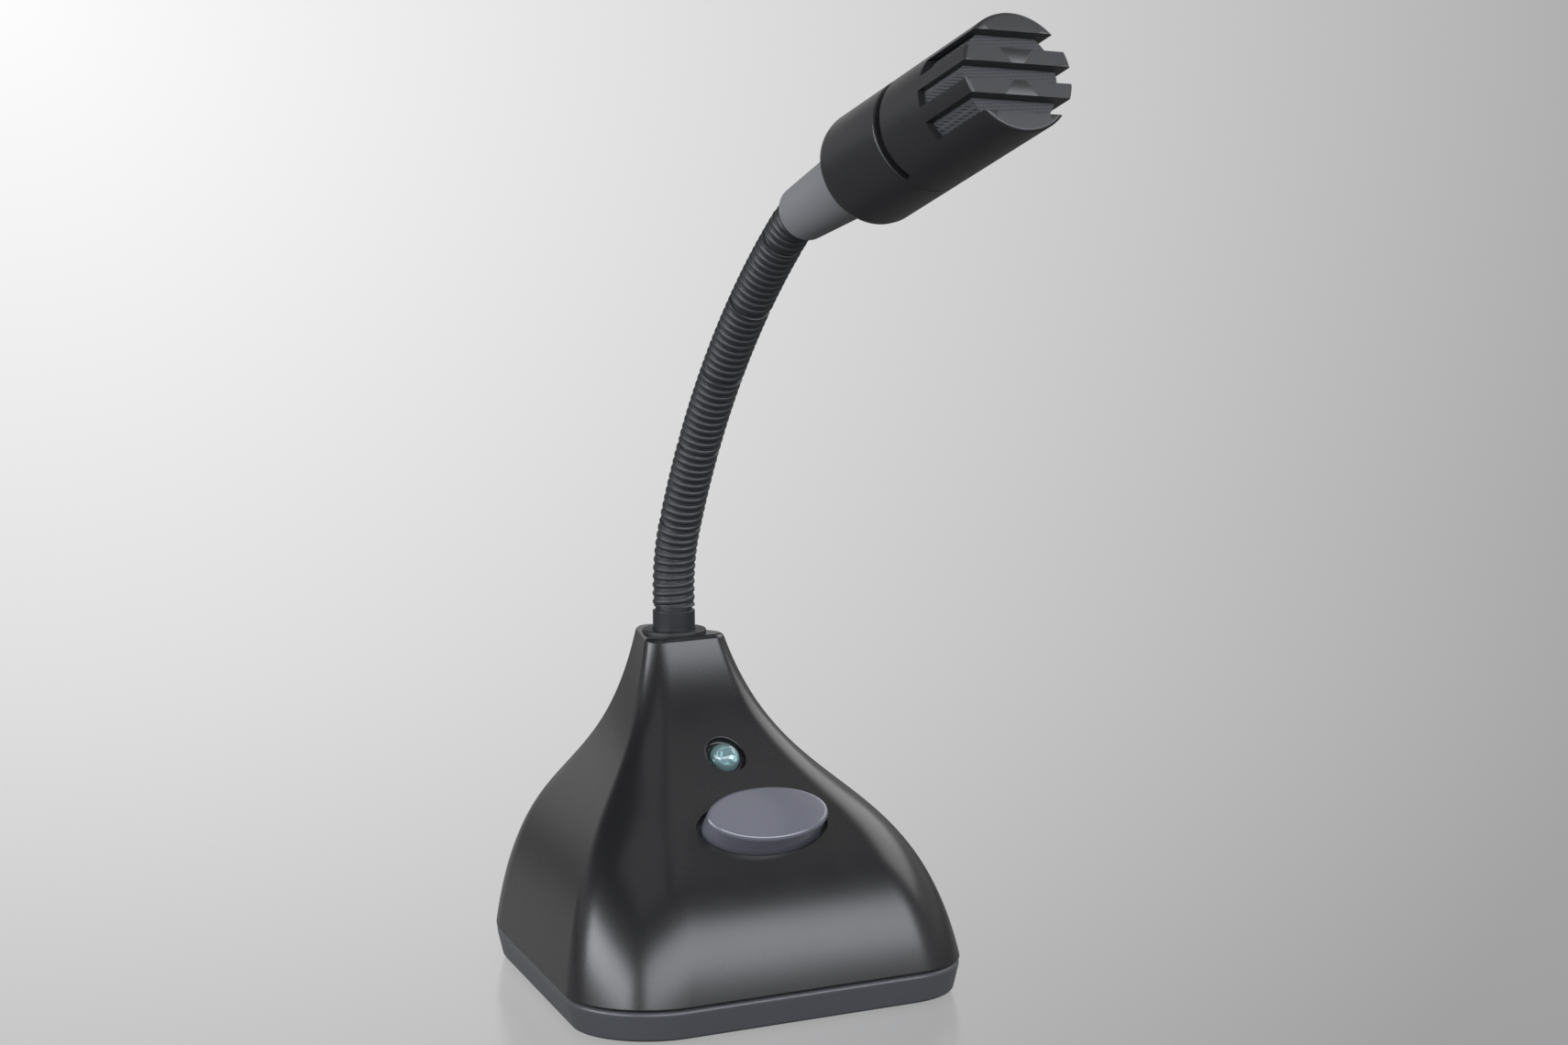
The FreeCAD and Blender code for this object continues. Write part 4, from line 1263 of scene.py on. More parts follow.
        # The tray's finish carries painted light: its paler colour stands in for the floor's reflection.
        piece = Piece("base_tray_visible", TRAY_ABS_PAINTED_FLOOR_LIGHT, "tray_plastic", ("base_tray",))
        make_rider(piece, shape, "base")

    def close_with_recesses(self, shape: Shape, rim: list[int],
                            recesses: Sequence[tuple[Vector, float, float]]) -> None:
        """Fills a level ring with a face that has round recesses.

        Args:
            shape: The shape that takes it.
            rim: The ring.
            recesses: Each recess's middle, radius and depth.
        """
        steps = self.recess_steps
        flat = [shape.points[k].xy for k in rim]
        number = list(rim)
        limits = [(k, (k + 1) % len(rim)) for k in range(len(rim))]
        for middle, radius, depth in recesses:
            first = len(flat)
            mouth = shape.ring(middle + p for p in circle(radius, 0.0, steps))
            floor = shape.ring(middle + p for p in circle(radius, depth, steps))
            shape.bridge(mouth, floor)
            shape.close(floor)
            flat += [shape.points[k].xy for k in mouth]
            number += mouth
            limits += [(first + k, first + (k + 1) % steps) for k in range(steps)]
        spots, _, triangles, sources, _, _ = delaunay_2d_cdt(flat, limits, [], 0, NET_TOLERANCE)
        for triangle in triangles:
            middle = sum((spots[k] for k in triangle), Vector((0, 0))) / 3
            if all((middle - p.xy).length > radius for p, radius, _ in recesses):
                shape.faces.append(tuple(number[sources[k][0]] for k in triangle))

    # -- button
    def build_button(self) -> None:
        """Makes the oval button: domed face, rounded edge, flange and stem."""
        under = self.flange_top() - self.flange_thick
        edge_low = self.button_proud - self.button_dome
        profile = [(self.stem_r, self.stem_r, under - self.stem), (self.stem_r, self.stem_r, under)]
        grown_w, grown_h = self.button_w + self.flange, self.button_h + self.flange
        profile += [(grown_w, grown_h, under), (grown_w, grown_h, self.flange_top())]
        profile += [(self.button_w, self.button_h, self.flange_top())]
        for k in range(self.button_edge_steps + 1):
            turn = math.pi / 2 * k / self.button_edge_steps
            inset = self.button_edge * (1 - math.cos(turn))
            level = edge_low - self.button_edge * (1 - math.sin(turn))
            profile.append((self.button_w - inset, self.button_h - inset, level))
        face_w, face_h = self.button_w - self.button_edge, self.button_h - self.button_edge
        for k in range(1, self.button_dome_steps):
            share = 1 - k / self.button_dome_steps
            profile.append((face_w * share, face_h * share, edge_low + self.button_dome * (1 - share ** 2)))
        shape = ellipse_rings(profile, 96).moved(self.form.face_frame(self.button_height))
        piece = Piece("push_button_visible", BUTTON_ABS, "button_plastic", ("push_button",))
        make_rider(piece, shape, "button")

    # -- light
    def build_light(self) -> None:
        """Makes the light: sunk holder, domed lens and the metal inside the lens."""
        place = self.light_frame()
        top = -self.holder_sunk
        low = top - self.holder_length
        flange_r = self.holder_r + self.holder_flange
        holder = turned([
            Corner(self.holder_bore_r, (top + low) / 2), Corner(self.holder_bore_r, low),
            Corner(flange_r, low, 0.2), Corner(flange_r, low + self.flange_thick, 0.2),
            Corner(self.holder_r, low + self.flange_thick), Corner(self.holder_r, top, 0.25),
            Corner(self.holder_bore_r, top, 0.25),
            Corner(self.holder_bore_r, (top + low) / 2 + SEAM_STEP)], 64, closed=True)
        piece = Piece("led_holder_visible", PART_PBT, "part_plastic", ("led_holder",))
        make_rider(piece, holder.moved(place), "base")
        tip = self.light_proud
        base = tip - self.light_length
        dome_z = tip - self.light_r
        rim_r, rim_top = self.light_r + self.light_rim, base + self.light_rim_thick
        profile = [Corner(0.4, base), Corner(rim_r, base, 0.15), Corner(rim_r, rim_top, 0.15),
                   Corner(self.light_r, rim_top)]
        for k in range(self.light_steps):
            turn = math.pi / 2 * k / self.light_steps
            profile.append(Corner(self.light_r * math.cos(turn), dome_z + self.light_r * math.sin(turn)))
        piece = Piece("indicator_led_lens", LENS_EPOXY, "led_lens", ("indicator_led",), Shading.SMOOTH)
        make_rider(piece, turned(profile, 64).moved(place), "base")
        self.build_light_inside(place, base, dome_z)

    def build_light_inside(self, place: Matrix, base: float, dome_z: float) -> None:
        """Makes the reflector cup, its post and the thinner second post inside the lens.

        Args:
            place: The light's frame.
            base: Lowest height of the lens.
            dome_z: Height where the dome starts.
        """
        cup_top = dome_z + 0.3
        foot, floor = cup_top - 1.3, cup_top - 0.8
        cup = turned([Corner(0.25, foot), Corner(1.25, foot, 0.1), Corner(1.45, cup_top, 0.05),
                      Corner(1.2, cup_top, 0.05), Corner(0.6, floor, 0.1), Corner(0.2, floor)], 40)
        shape = cup.moved(Matrix.Translation(X_AXIS * 0.35))
        post_low = base + 0.3
        for x, half_w, high in ((0.55, 0.45, cup_top - 1.25), (-1.35, 0.3, cup_top - 0.4)):
            middle = Vector((x, 0, (post_low + high) / 2))
            shape.add(block(Vector((half_w, 0.3, (high - post_low) / 2)), middle))
        shape.add(block(Vector((0.35, 0.35, 0.12)), Vector((0.35, 0, cup_top - 0.66))))
        piece = Piece("led_lead_frame", SILVER_PLATE, "screw_steel")
        make_rider(piece, shape.moved(place), "base")

    # -- jack
    def build_jack(self) -> None:
        """Makes the cable's socket at the rear: chamfered bush, square body and knurled nut."""
        place = self.jack_frame()
        mouth = self.jack_nut_thick + self.jack_bush_proud
        low, high = corners_of("jack_socket")
        inner = low.y - self.jack_seat().y
        step = inner + self.jack_body
        bore_end = mouth - self.jack_bore_depth
        socket = turned([
            Corner(self.jack_axis_r, bore_end), Corner(self.jack_bore_r, bore_end),
            Corner(self.jack_bore_r, mouth - self.jack_chamfer),
            Corner(self.jack_bore_r + self.jack_chamfer, mouth),
            Corner(self.jack_bush_r, mouth, 0.25), Corner(self.jack_bush_r, step),
            Corner(self.jack_bush_r, inner), Corner(self.jack_axis_r, inner)], 64)
        half = (high.x - low.x) / 2
        body = block(Vector((half, half, (step - inner) / 2)), Vector((0, 0, (step + inner) / 2)))
        socket.add(body)
        piece = Piece("jack_socket_visible", PART_PBT, "part_plastic", ("jack_socket",))
        make_rider(piece, socket.moved(place), "base")
        nut = self.knurled_nut()
        piece = Piece("jack_nut_visible", NICKEL_BRASS, "nut_brass", ("jack_nut",))
        make_rider(piece, nut.moved(place), "base")

    def knurled_nut(self) -> Shape:
        """The jack's nut: a ring with straight knurling round it and bevelled ends.

        Returns:
            The nut, with its seat at height 0.
        """
        per_tooth = 4
        steps = self.knurl_teeth * per_tooth
        shape = Shape()
        thick, outer, inner = self.jack_nut_thick, self.jack_nut_r, self.jack_hole_r
        bevel, mouth_bevel = self.nut_bevel, self.nut_mouth_bevel
        rings = []
        levels = ((inner, 0.0, 0), (outer - bevel, 0.0, 0), (outer, bevel, 1),
                  (outer, thick - bevel, 1), (outer - bevel, thick, 0),
                  (inner + mouth_bevel, thick, 0), (inner, thick - mouth_bevel, 0))
        for radius, level, knurled in levels:
            points = []
            for k in range(steps):
                angle = 2 * math.pi * k / steps
                dip = self.knurl_depth * knurled * (0.5 - 0.5 * math.cos(2 * math.pi * k / per_tooth))
                reach = radius - dip
                points.append(Vector((reach * math.cos(angle), reach * math.sin(angle), level)))
            rings.append(shape.ring(points))
        shape.skin(rings)
        shape.bridge(rings[-1], rings[0])
        return shape


# ------------------------------------------------------------------ neck
@dataclass(frozen=True)
class NeckLine:
    """The neck's middle line in the plane X = 0: a straight run, then arcs that bend it forward.

    Arcs are (radius, angle at the end in degrees from upright).
    """

    start: float
    straight: float = 7.6
    arcs: tuple[tuple[float, float], ...] = ((30.5, 22.3), (150.0, 48.8), (14.0, 69.0))

    def length(self) -> float:
        """Length from the start to the rear of the head.

        Returns:
            The length.
        """
        total, angle = self.straight, 0.0
        for radius, end in self.arcs:
            total += radius * math.radians(end - angle)
            angle = end
        return total

    def at(self, distance: float) -> tuple[Vector, float]:
        """Point and angle at a distance from the start; beyond the ends the line runs straight.

        Args:
            distance: How far along the line.

        Returns:
            The point, and the line's angle from upright in radians.
        """
        if distance <= self.straight:
            return Vector((0, 0, self.start + distance)), 0.0
        distance -= self.straight
        point, angle = Vector((0, 0, self.start + self.straight)), 0.0
        for radius, end_degrees in self.arcs:
            end = math.radians(end_degrees)
            centre = point - self.radial(angle) * radius
            span = radius * (end - angle)
            if distance <= span:
                turned_to = angle + distance / radius
                return centre + self.radial(turned_to) * radius, turned_to
            distance -= span
            point, angle = centre + self.radial(end) * radius, end
        return point + self.tangent(angle) * distance, angle

    @staticmethod
    def radial(angle: float) -> Vector:
        """Direction square to the line, in its plane."""
        return Vector((0, math.cos(angle), math.sin(angle)))

    @staticmethod
    def tangent(angle: float) -> Vector:
        """Direction along the line."""
        return Vector((0, -math.sin(angle), math.cos(angle)))


@dataclass
class Neck:
    """Collar, ferrule and the coiled wire.

    The coil is cut at every bend joint, where a ball on one stretch turns in a socket in the next.
    Between two bends one stretch runs across the sway joint, as a fixed mesh that rides on no body.
    """

    line: NeckLine
    bodies: Sequence[str]
    radius: float = 3.8
    first_joint: float = 4.5
    pitch: float = 1.5
    wire_share: float = 0.7
    ridge: float = 0.36
    wedge: float = 0.16
    samples: int = 12
    steps: int = 48
    tail: float = 1.0
    flex: float = 3.5
    cut: float = 0.37
    ball_r: float = 3.3
    ball_fit: float = 0.05
    ball_steps: int = 7
    ball_share: float = 0.97
    hold: float = 0.02
    bore_r: float = 1.6
    collar_r: float = 5.8
    collar_thick: float = 0.7
    collar_depth: float = 6.0
    collar_sleeve: float = 1.1
    fit: float = 0.05

    def joint(self, k: int) -> float:
        """Distance of joint k along the line, from the top of the base."""
        sections = len(self.bodies) - 1
        return self.first_joint + (self.line.length() - self.first_joint) * k / sections

    def build(self) -> None:
        """Makes the collar, the ferrule and every stretch of the coil."""
        self.build_collar()
        self.build_ferrule()
        sections = len(self.bodies) - 1
        for k in range(0, sections, 2):
            last = k == sections - 1
            end = self.line.length() + self.tail if last else self.joint(k + 2)
            shape = self.coil(self.joint(k), end, not last)
            nodes = tuple("neck_section_%02d" % (j + 1) for j in range(k, min(k + 2, sections)))
            piece = Piece("neck_coil_%02d" % (k // 2 + 1), COIL_ENAMEL, "neck_steel", nodes, Shading.SMOOTH)
            made = make_object(piece, shape)
            if last:
                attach(made, self.bodies[-1])
                continue
            sway = self.joint(k + 1)
            low, high = self.line.at(sway - self.flex)[0] * MM, self.line.at(sway + self.flex)[0] * MM
            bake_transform(made)

    def surface(self, phase: float) -> float:
        """Radius of the coil at a phase of its pitch: a round wire, then the narrow wedge beside it.

        Args:
            phase: How many pitches along; only its fraction counts.

        Returns:
            The radius.
        """
        phase %= 1.0
        if phase < self.wire_share:
            across = 2 * phase / self.wire_share - 1
            return self.radius - self.ridge + self.ridge * math.sqrt(max(0.0, 1 - across * across))
        across = 2 * (phase - self.wire_share) / (1 - self.wire_share) - 1
        return self.radius - self.ridge + self.wedge * (1 - across * across)

    def coil_ring(self, shape: Shape, distance: float) -> list[int]:
        """Adds a ring of the coil's surface at a distance along the line.

        Args:
            shape: The shape that takes it.
            distance: How far along the line.

        Returns:
            The ring's numbers.
        """
        centre, angle = self.line.at(distance)
        radial = self.line.radial(angle)
        points = []
        for i in range(self.steps):
            share = i / self.steps
            spoke = X_AXIS * math.cos(2 * math.pi * share) + radial * math.sin(2 * math.pi * share)
            points.append(centre + spoke * self.surface(distance / self.pitch - share))
        return shape.ring(points)

    def round_ring(self, shape: Shape, distance: float, radius: float, ahead: float) -> list[int]:
        """Adds a plain ring, square to the line at a distance and some way ahead of it.

        Args:
            shape: The shape that takes it.
            distance: How far along the line its frame lies.
            radius: Its radius.
            ahead: How far it lies ahead in that frame.

        Returns:
            The ring's numbers.
        """
        centre, angle = self.line.at(distance)
        place = framed(centre, X_AXIS, self.line.radial(angle), X_AXIS.cross(self.line.radial(angle)))
        return shape.ring(place @ p for p in circle(radius, ahead, self.steps))

    def coil(self, start: float, end: float, has_ball: bool) -> Shape:
        """A stretch of the coil, closed at both ends.

        Args:
            start: The joint where it starts, along the line; it has the socket for the ball there.
            end: Where it ends.
            has_ball: Whether it ends at a joint, with a ball, or plainly inside the head.

        Returns:
            Its shape.
        """
        shape = Shape()
        socket_r = self.ball_r + self.ball_fit
        rings = []
        mouth = math.asin(self.cut / socket_r)
        for k in range(self.ball_steps + 1):
            turn = mouth + (math.pi / 2 - mouth) * (1 - k / self.ball_steps) * self.ball_share
            radius, ahead = socket_r * math.cos(turn), socket_r * math.sin(turn)
            rings.append(self.round_ring(shape, start, radius, ahead))
        rings.append(self.round_ring(shape, start, socket_r * math.cos(mouth) + self.hold, self.cut))
        low, high = start + self.cut, end - (self.cut if has_ball else 0.0)
        count = max(2, round((high - low) / self.pitch * self.samples))
        distances = [low + (high - low) * j / count for j in range(count + 1)]
        distances[1:1] = [low + self.hold]
        distances[-1:-1] = [high - self.hold]
        rings += [self.coil_ring(shape, distance) for distance in distances]
        if has_ball:
            for radius, ahead in ((self.ball_r + self.hold, -self.cut), (self.ball_r, -self.cut),
                                  (self.ball_r, self.hold - self.cut)):
                rings.append(self.round_ring(shape, end, radius, ahead))
            for k in range(self.ball_steps + 1):
                turn = math.pi / 2 * k / self.ball_steps * self.ball_share
                radius, ahead = self.ball_r * math.cos(turn), self.ball_r * math.sin(turn)
                rings.append(self.round_ring(shape, end, radius, ahead))
        shape.enclose(rings)
        return shape

    def build_collar(self) -> None:
        """Makes the thin ring on top of the base, with its sleeve."""
        inner, sleeve = self.radius + self.fit, self.radius + self.collar_sleeve
        low = -self.collar_depth
        shape = turned([
            Corner(inner, low / 2), Corner(inner, low), Corner(sleeve, low, 0.2), Corner(sleeve, 0.0),
            Corner(self.collar_r, 0.0), Corner(self.collar_r, self.collar_thick, 0.3),
            Corner(inner, self.collar_thick, 0.2), Corner(inner, low / 2 + SEAM_STEP)], 80, closed=True)
        place = Matrix.Translation(Z_AXIS * self.line.start)
        piece = Piece("neck_collar_visible", PART_PBT, "part_plastic", ("neck_collar",))
        make_rider(piece, shape.moved(place), self.bodies[0])

    def build_ferrule(self) -> None:
        """Makes the smooth end of the neck, from inside the base to the ball at the first bend."""
        low, _ = corners_of("neck_ferrule")
        joint, seam = self.line.start + self.first_joint, (low.z + self.line.start) / 2
        profile = [Corner(self.bore_r, seam), Corner(self.bore_r, low.z), Corner(self.radius, low.z, 0.3),
                   Corner(self.radius, joint - self.cut, 0.15), Corner(self.ball_r, joint - self.cut)]
        last, steps = math.acos(self.bore_r / self.ball_r), 6
        for k in range(steps + 1):
            turn = last * k / steps
            profile.append(Corner(self.ball_r * math.cos(turn), joint + self.ball_r * math.sin(turn)))
        profile.append(Corner(self.bore_r, seam + SEAM_STEP))
        piece = Piece("neck_ferrule_visible", FERRULE_ENAMEL, "neck_steel", ("neck_ferrule",))
        make_rider(piece, turned(profile, 64, closed=True), self.bodies[0])


# ------------------------------------------------------------------ head
@dataclass
class Head:
    """Cone, barrel and slotted cap, along +Z of the head's own frame with +Y up."""

    place: Matrix
    cone_rear_r: float = 4.8
    cone_front_r: float = 6.2
    cone_length: float = 22.0
    cone_bore_r: float = 2.0
    cone_rear_edge: float = 0.6
    spigot_r: float = 5.4
    spigot: float = 7.0
    neck_r: float = 3.85
    neck_depth: float = 6.05
    radius: float = 9.745
    shoulder: float = 2.6
    barrel_length: float = 19.5
    barrel_rear_wall: float = 3.4
    barrel_inner_wall: float = 1.3
    barrel_in_cap: float = 3.6
    seam_gap: float = 1.9
    key_angle: float = 60.0
    cap_length: float = 26.7
    cap_wall: float = 1.2
    cap_front_wall: float = 2.6
    cap_edge: float = 0.5
    slots: int = 3
    slot_pitch: float = 5.2
    slot_height: float = 2.8
    slot_length: float = 14.3
    edge: float = 0.3
    fit: float = 0.05

    def build(self) -> None:
        """Makes every visible piece of the head."""
        self.build_cone()
        self.build_barrel()
        self.build_cap()

    def barrel_front(self) -> float:
        """Where the barrel ends."""
        return self.cone_length + self.barrel_length

    def cap_rear(self) -> float:
        """Where the cap starts, past the seam."""
        return self.barrel_front() + self.seam_gap

    def cap_front(self) -> float:
        """The head's front face."""
        return self.cap_rear() + self.cap_length

    def build_cone(self) -> None:
        """Makes the cone that grips the neck, with its spigot."""
        end = self.cone_length + self.spigot
        shape = turned([
            Corner(self.cone_bore_r, self.neck_depth), Corner(self.neck_r, self.neck_depth),
            Corner(self.neck_r, 0.0, 0.2), Corner(self.cone_rear_r, 0.0, self.cone_rear_edge),
            Corner(self.cone_front_r, self.cone_length, 0.2), Corner(self.spigot_r, self.cone_length),
            Corner(self.spigot_r, end, 0.3), Corner(self.cone_bore_r, end),
            Corner(self.cone_bore_r, self.neck_depth + SEAM_STEP)], 72, closed=True)
        piece = Piece("head_ferrule_visible", CONE_RUBBER, "cone_plastic", ("head_ferrule",))
        make_rider(piece, shape.moved(self.place), "head")

    def build_barrel(self) -> None:
        """Makes the barrel: round rear shoulder, rounded front edge, and the reduced end for the cap."""
        neck_r = self.radius - self.cap_wall - self.fit
        bore_r, hole_r = neck_r - self.barrel_inner_wall, self.spigot_r + self.fit
        rear, front = self.cone_length, self.barrel_front()
        end = front + self.seam_gap + self.barrel_in_cap
        floor, seam = rear + self.barrel_rear_wall, (rear + front) / 2
        shape = turned([
            Corner(bore_r, seam), Corner(bore_r, floor), Corner(hole_r, floor), Corner(hole_r, rear, 0.2),
            Corner(self.radius - self.shoulder - 0.3, rear, 0.1), Corner(self.radius, rear, self.shoulder),
            Corner(self.radius, front, self.edge), Corner(neck_r, front), Corner(neck_r, end, 0.3),
            Corner(bore_r, end), Corner(bore_r, seam + SEAM_STEP)], 128, closed=True)
        piece = Piece("head_barrel_visible", CAP_ABS, "barrel_plastic", ("head_barrel",))
        make_rider(piece, shape.moved(self.place), "head")

    def build_cap(self) -> None:
        """Makes the cap with its slots cut through, and the key that closes the seam below."""
        inner, axis_r = self.radius - self.cap_wall, 0.02
        rear, front = self.cap_rear(), self.cap_front()
        behind = front - self.cap_front_wall
        shell = turned([
            Corner(axis_r, behind), Corner(inner, behind, 0.3), Corner(inner, rear),
            Corner(self.radius, rear, self.edge), Corner(self.radius, front, self.cap_edge),
            Corner(axis_r, front)], 128)
        piece = Piece("grille_cap_visible", CAP_ABS, "cap_plastic", ("grille_cap",))
        cap = make_object(piece, shell)
        cap.modifiers.clear()
        # Each cutter stands 2 mm out at the sides and in front.
        half = Vector((self.radius + 2, self.slot_height / 2, self.slot_length / 2 + 1))
        for k in range(self.slots):
            y = (k - (self.slots - 1) / 2) * self.slot_pitch
            cutter = Piece("slot_cutter_%d" % k, CAP_ABS, "cap_plastic")
            tool = make_object(cutter, block(half, Vector((0, y, front - self.slot_length / 2 + 1))))
            cut = cap.modifiers.new("slot", "BOOLEAN")
            cut.object, cut.operation, cut.solver = tool, "DIFFERENCE", "EXACT"
            tool.hide_render = True
        self.settle(cap)
        bevel = cap.modifiers.new("edges", "BEVEL")
        bevel.width, bevel.segments, bevel.limit_method = self.edge * MM, 3, "ANGLE"
        bevel.angle_limit = SHARP_ANGLE
        self.settle(cap)
        cap.data.transform(self.place_in_metres())
        cap.data.shade_smooth()
        cap.data.set_sharp_from_angle(angle=SHARP_ANGLE)
        cap.modifiers.new("weighted", "WEIGHTED_NORMAL").keep_sharp = True
        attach(cap, "head")
        self.build_key()

    def place_in_metres(self) -> Matrix:
        """The head's frame for a mesh that is already in metres.

        Returns:
            The frame.
        """
        place = self.place.copy()
        place.translation = self.place.translation * MM
        return place

    def settle(self, made: bpy.types.Object) -> None:
        """Applies an object's modifiers and removes the cutters that they used.

        Args:
            made: The object.
        """
        tools = [m.object for m in made.modifiers if m.type == "BOOLEAN"]
        seen = made.evaluated_get(bpy.context.evaluated_depsgraph_get())
        mesh = bpy.data.meshes.new_from_object(seen)
        made.modifiers.clear()
        made.data = mesh
        for tool in tools:
            bpy.data.objects.remove(tool)

    def build_key(self) -> None:
        """Makes the block that fills the seam at the bottom of the head."""
        steps, sunk = 24, 0.02
        inner, outer = self.radius - self.cap_wall, self.radius - sunk
        half = math.radians(self.key_angle / 2)
        low, high = self.barrel_front() + self.fit, self.cap_rear() + self.edge
        shape = Shape()
        rings = []
        for k in range(steps + 1):
            angle = -math.pi / 2 - half + 2 * half * k / steps
            spoke = Vector((math.cos(angle), math.sin(angle), 0))
            corners = ((inner, low), (outer, low), (outer, high), (inner, high))
            rings.append(shape.ring(spoke * out + Z_AXIS * z for out, z in corners))
        shape.enclose(rings)
        piece = Piece("grille_cap_key", CAP_ABS, "cap_plastic")
        make_rider(piece, shape.moved(self.place), "head")


def head_frame(line: NeckLine, roll: float) -> Matrix:
    """The head's frame at the end of the neck.

    Args:
        line: The neck's middle line.
        roll: How far the head is turned on the neck, in degrees.

    Returns:
        The frame, in millimetres: +Z forward, +Y up.
    """
    origin, angle = line.at(line.length())
    forward = line.tangent(angle)
    side = Matrix.Rotation(math.radians(-roll), 3, forward) @ X_AXIS
    return framed(origin, side, forward.cross(side), forward)


# ------------------------------------------------------------------ studio
@dataclass(frozen=True)
class Softbox:
    """A soft lamp, aimed at the object from a direction.

    Azimuth 0 is in front of the object and grows towards +X; angles are degrees, sizes metres. A
    flagged lamp is kept off the floor and backdrop, where its glare would burn them white.
    """

    name: str
    azimuth: float
    elevation: float
    distance: float
    width: float
    height: float
    radiance: float
    colour: str = "#ffffff"
    flagged: bool = False


@dataclass(frozen=True)
class Studio:
    """Floor, backdrop, lamps and camera."""

    target: Vector
    azimuth: float = -30.375
    pitch: float = 7.81
    roll: float = -0.393
    lens: float = 94.76
    sensor: float = 36.0
    stand: Vector = Vector((-0.3543, -0.64399, 0.18316))
    floor_r: float = 2.4
    wall_r: float = 4.0
    wall_height: float = 1.4
    # The backdrop's painted light: where it is brightest, how fast it falls off, and how strongly it glows.
    bright_left: float = 0.19
    bright_up: float = 0.127
    fall: float = 0.42
    near_glow: float = 0.68
    bounced_glow: float = 0.2
    mirrored_floor: float = 0.25
    mirrored_glow: float = 0.9
    softboxes: tuple[Softbox, ...] = (
        Softbox("front_softbox", 5, 22.5, 1.1, 1.8, 0.42, 6.6, "#f6f8ff", True),
        Softbox("left_softbox", -90, 16, 1.1, 1.6, 0.32, 9.0, "#f6f8ff", True),
        Softbox("right_fill", 97, 34, 1.3, 1.2, 0.6, 2.6, flagged=True),
        Softbox("top_softbox", 0, 84, 1.2, 1.5, 1.2, 0.5),
    )

    def build(self) -> None:
        """Sets the view and makes the camera, lamps, world and stage."""
        bpy.context.scene.view_settings.view_transform = "Standard"
        self.build_camera()
        self.build_world()
        stage = self.build_stage()
        spared = bpy.data.collections.new("flagged_off")
        spared.objects.link(stage)
        spared.collection_objects[0].light_linking.link_state = "EXCLUDE"
        for box in self.softboxes:
            lamp = self.build_softbox(box)
            if box.flagged:
                lamp.light_linking.receiver_collection = spared

    def build_camera(self) -> None:
        """Makes the camera at its stand, turned by azimuth, pitch and roll."""
        across, upward, back = self.axes()
        data = bpy.data.cameras.new("camera")
        data.sensor_fit, data.sensor_width, data.lens = "HORIZONTAL", self.sensor, self.lens
        data.clip_start, data.clip_end = 0.01, 50
        camera = bpy.data.objects.new("camera", data)
        camera.matrix_world = framed(self.stand, across, upward, back)
        bpy.context.scene.collection.objects.link(camera)
        bpy.context.scene.camera = camera

    def build_softbox(self, box: Softbox) -> bpy.types.Object:
        """Makes one lamp, aimed at the object.

        Args:
            box: Where it stands, its size and its light.

        Returns:
            The lamp.
        """
        data = bpy.data.lights.new(box.name, "AREA")
        data.shape, data.size, data.size_y = "RECTANGLE", box.width, box.height
        data.energy = box.radiance * math.pi * box.width * box.height
        data.color = linear(box.colour)[:3]
        around, lift = math.radians(box.azimuth), math.radians(box.elevation)
        level = Vector((math.sin(around), -math.cos(around), 0))
        out = level * math.cos(lift) + Z_AXIS * math.sin(lift)
        lamp = bpy.data.objects.new(box.name, data)
        lamp.location = self.target + out * box.distance
        lamp.rotation_euler = out.to_track_quat("Z", "Y").to_euler()
        bpy.context.scene.collection.objects.link(lamp)
        return lamp

    def build_world(self) -> None:
        """Makes a room that is pale at eye level and dim overhead."""
        world = bpy.data.worlds.new("studio")
        world.use_nodes = True
        tree = world.node_tree
        tree.nodes.clear()
        place = add_node(tree, "TexCoord").outputs["Generated"]
        height = add_node(tree, "SeparateXYZ", None, {0: place}).outputs["Z"]
        lift = add_node(tree, "MapRange", {"interpolation_type": "SMOOTHSTEP"}, {
            "Value": height, "From Min": 0.05, "From Max": 0.45}).outputs[0]
        tint = add_node(tree, "Mix", {"data_type": "RGBA"}, {
            0: lift, 6: linear("#b4b4b6"), 7: linear("#4a4a4c")}).outputs[2]
        glow = add_node(tree, "Background", None, {"Color": tint, "Strength": 0.6})
        add_node(tree, "OutputWorld", None, {"Surface": glow.outputs[0]})
        bpy.context.scene.world = world

    def build_stage(self) -> bpy.types.Object:
        """Makes a round floor that sweeps up into a wall all round.

        Returns:
            The stage.
        """
        sweep_r = self.wall_r - self.floor_r
        profile = [(0.02, 0.0), (0.3, 0.0), (0.8, 0.0), (self.floor_r, 0.0)]
        profile += [(self.floor_r + sweep_r * math.sin(a), sweep_r * (1 - math.cos(a)))
                    for a in (math.pi / 2 * k / 16 for k in range(1, 17))]
        profile.append((self.wall_r, sweep_r + self.wall_height))
        shape = Shape()
        rings = [shape.ring(circle(out, high, 96)) for out, high in profile]
        shape.skin(rings)
        shape.close(rings[0])
        mesh = bpy.data.meshes.new("floor_and_backdrop")
        mesh.from_pydata(shape.points, [], shape.faces)
        mesh.shade_smooth()
        stage = bpy.data.objects.new("floor_and_backdrop", mesh)
        bpy.context.scene.collection.objects.link(stage)
        mesh.materials.append(self.stage_material())
        stage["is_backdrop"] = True
        return stage

    def stage_material(self) -> bpy.types.Material:
        """Pale, slightly glossy sheet.

        Near the object it is lit by the lamps, keeps the shadow and glows as well; further off, the view
        and what metal and glass mirror are painted light: the sheet glows in a pale graded tone that is
        brightest far off to the left.

        Returns:
            The material.
        """
        made = bpy.data.materials.new("pale_sheet")
        made.use_nodes = True
        tree = made.node_tree
        tree.nodes.clear()
        place = add_node(tree, "NewGeometry").outputs["Position"]
        painted_light = self.backdrop_painted_light(tree, place)
        path = add_node(tree, "LightPath")
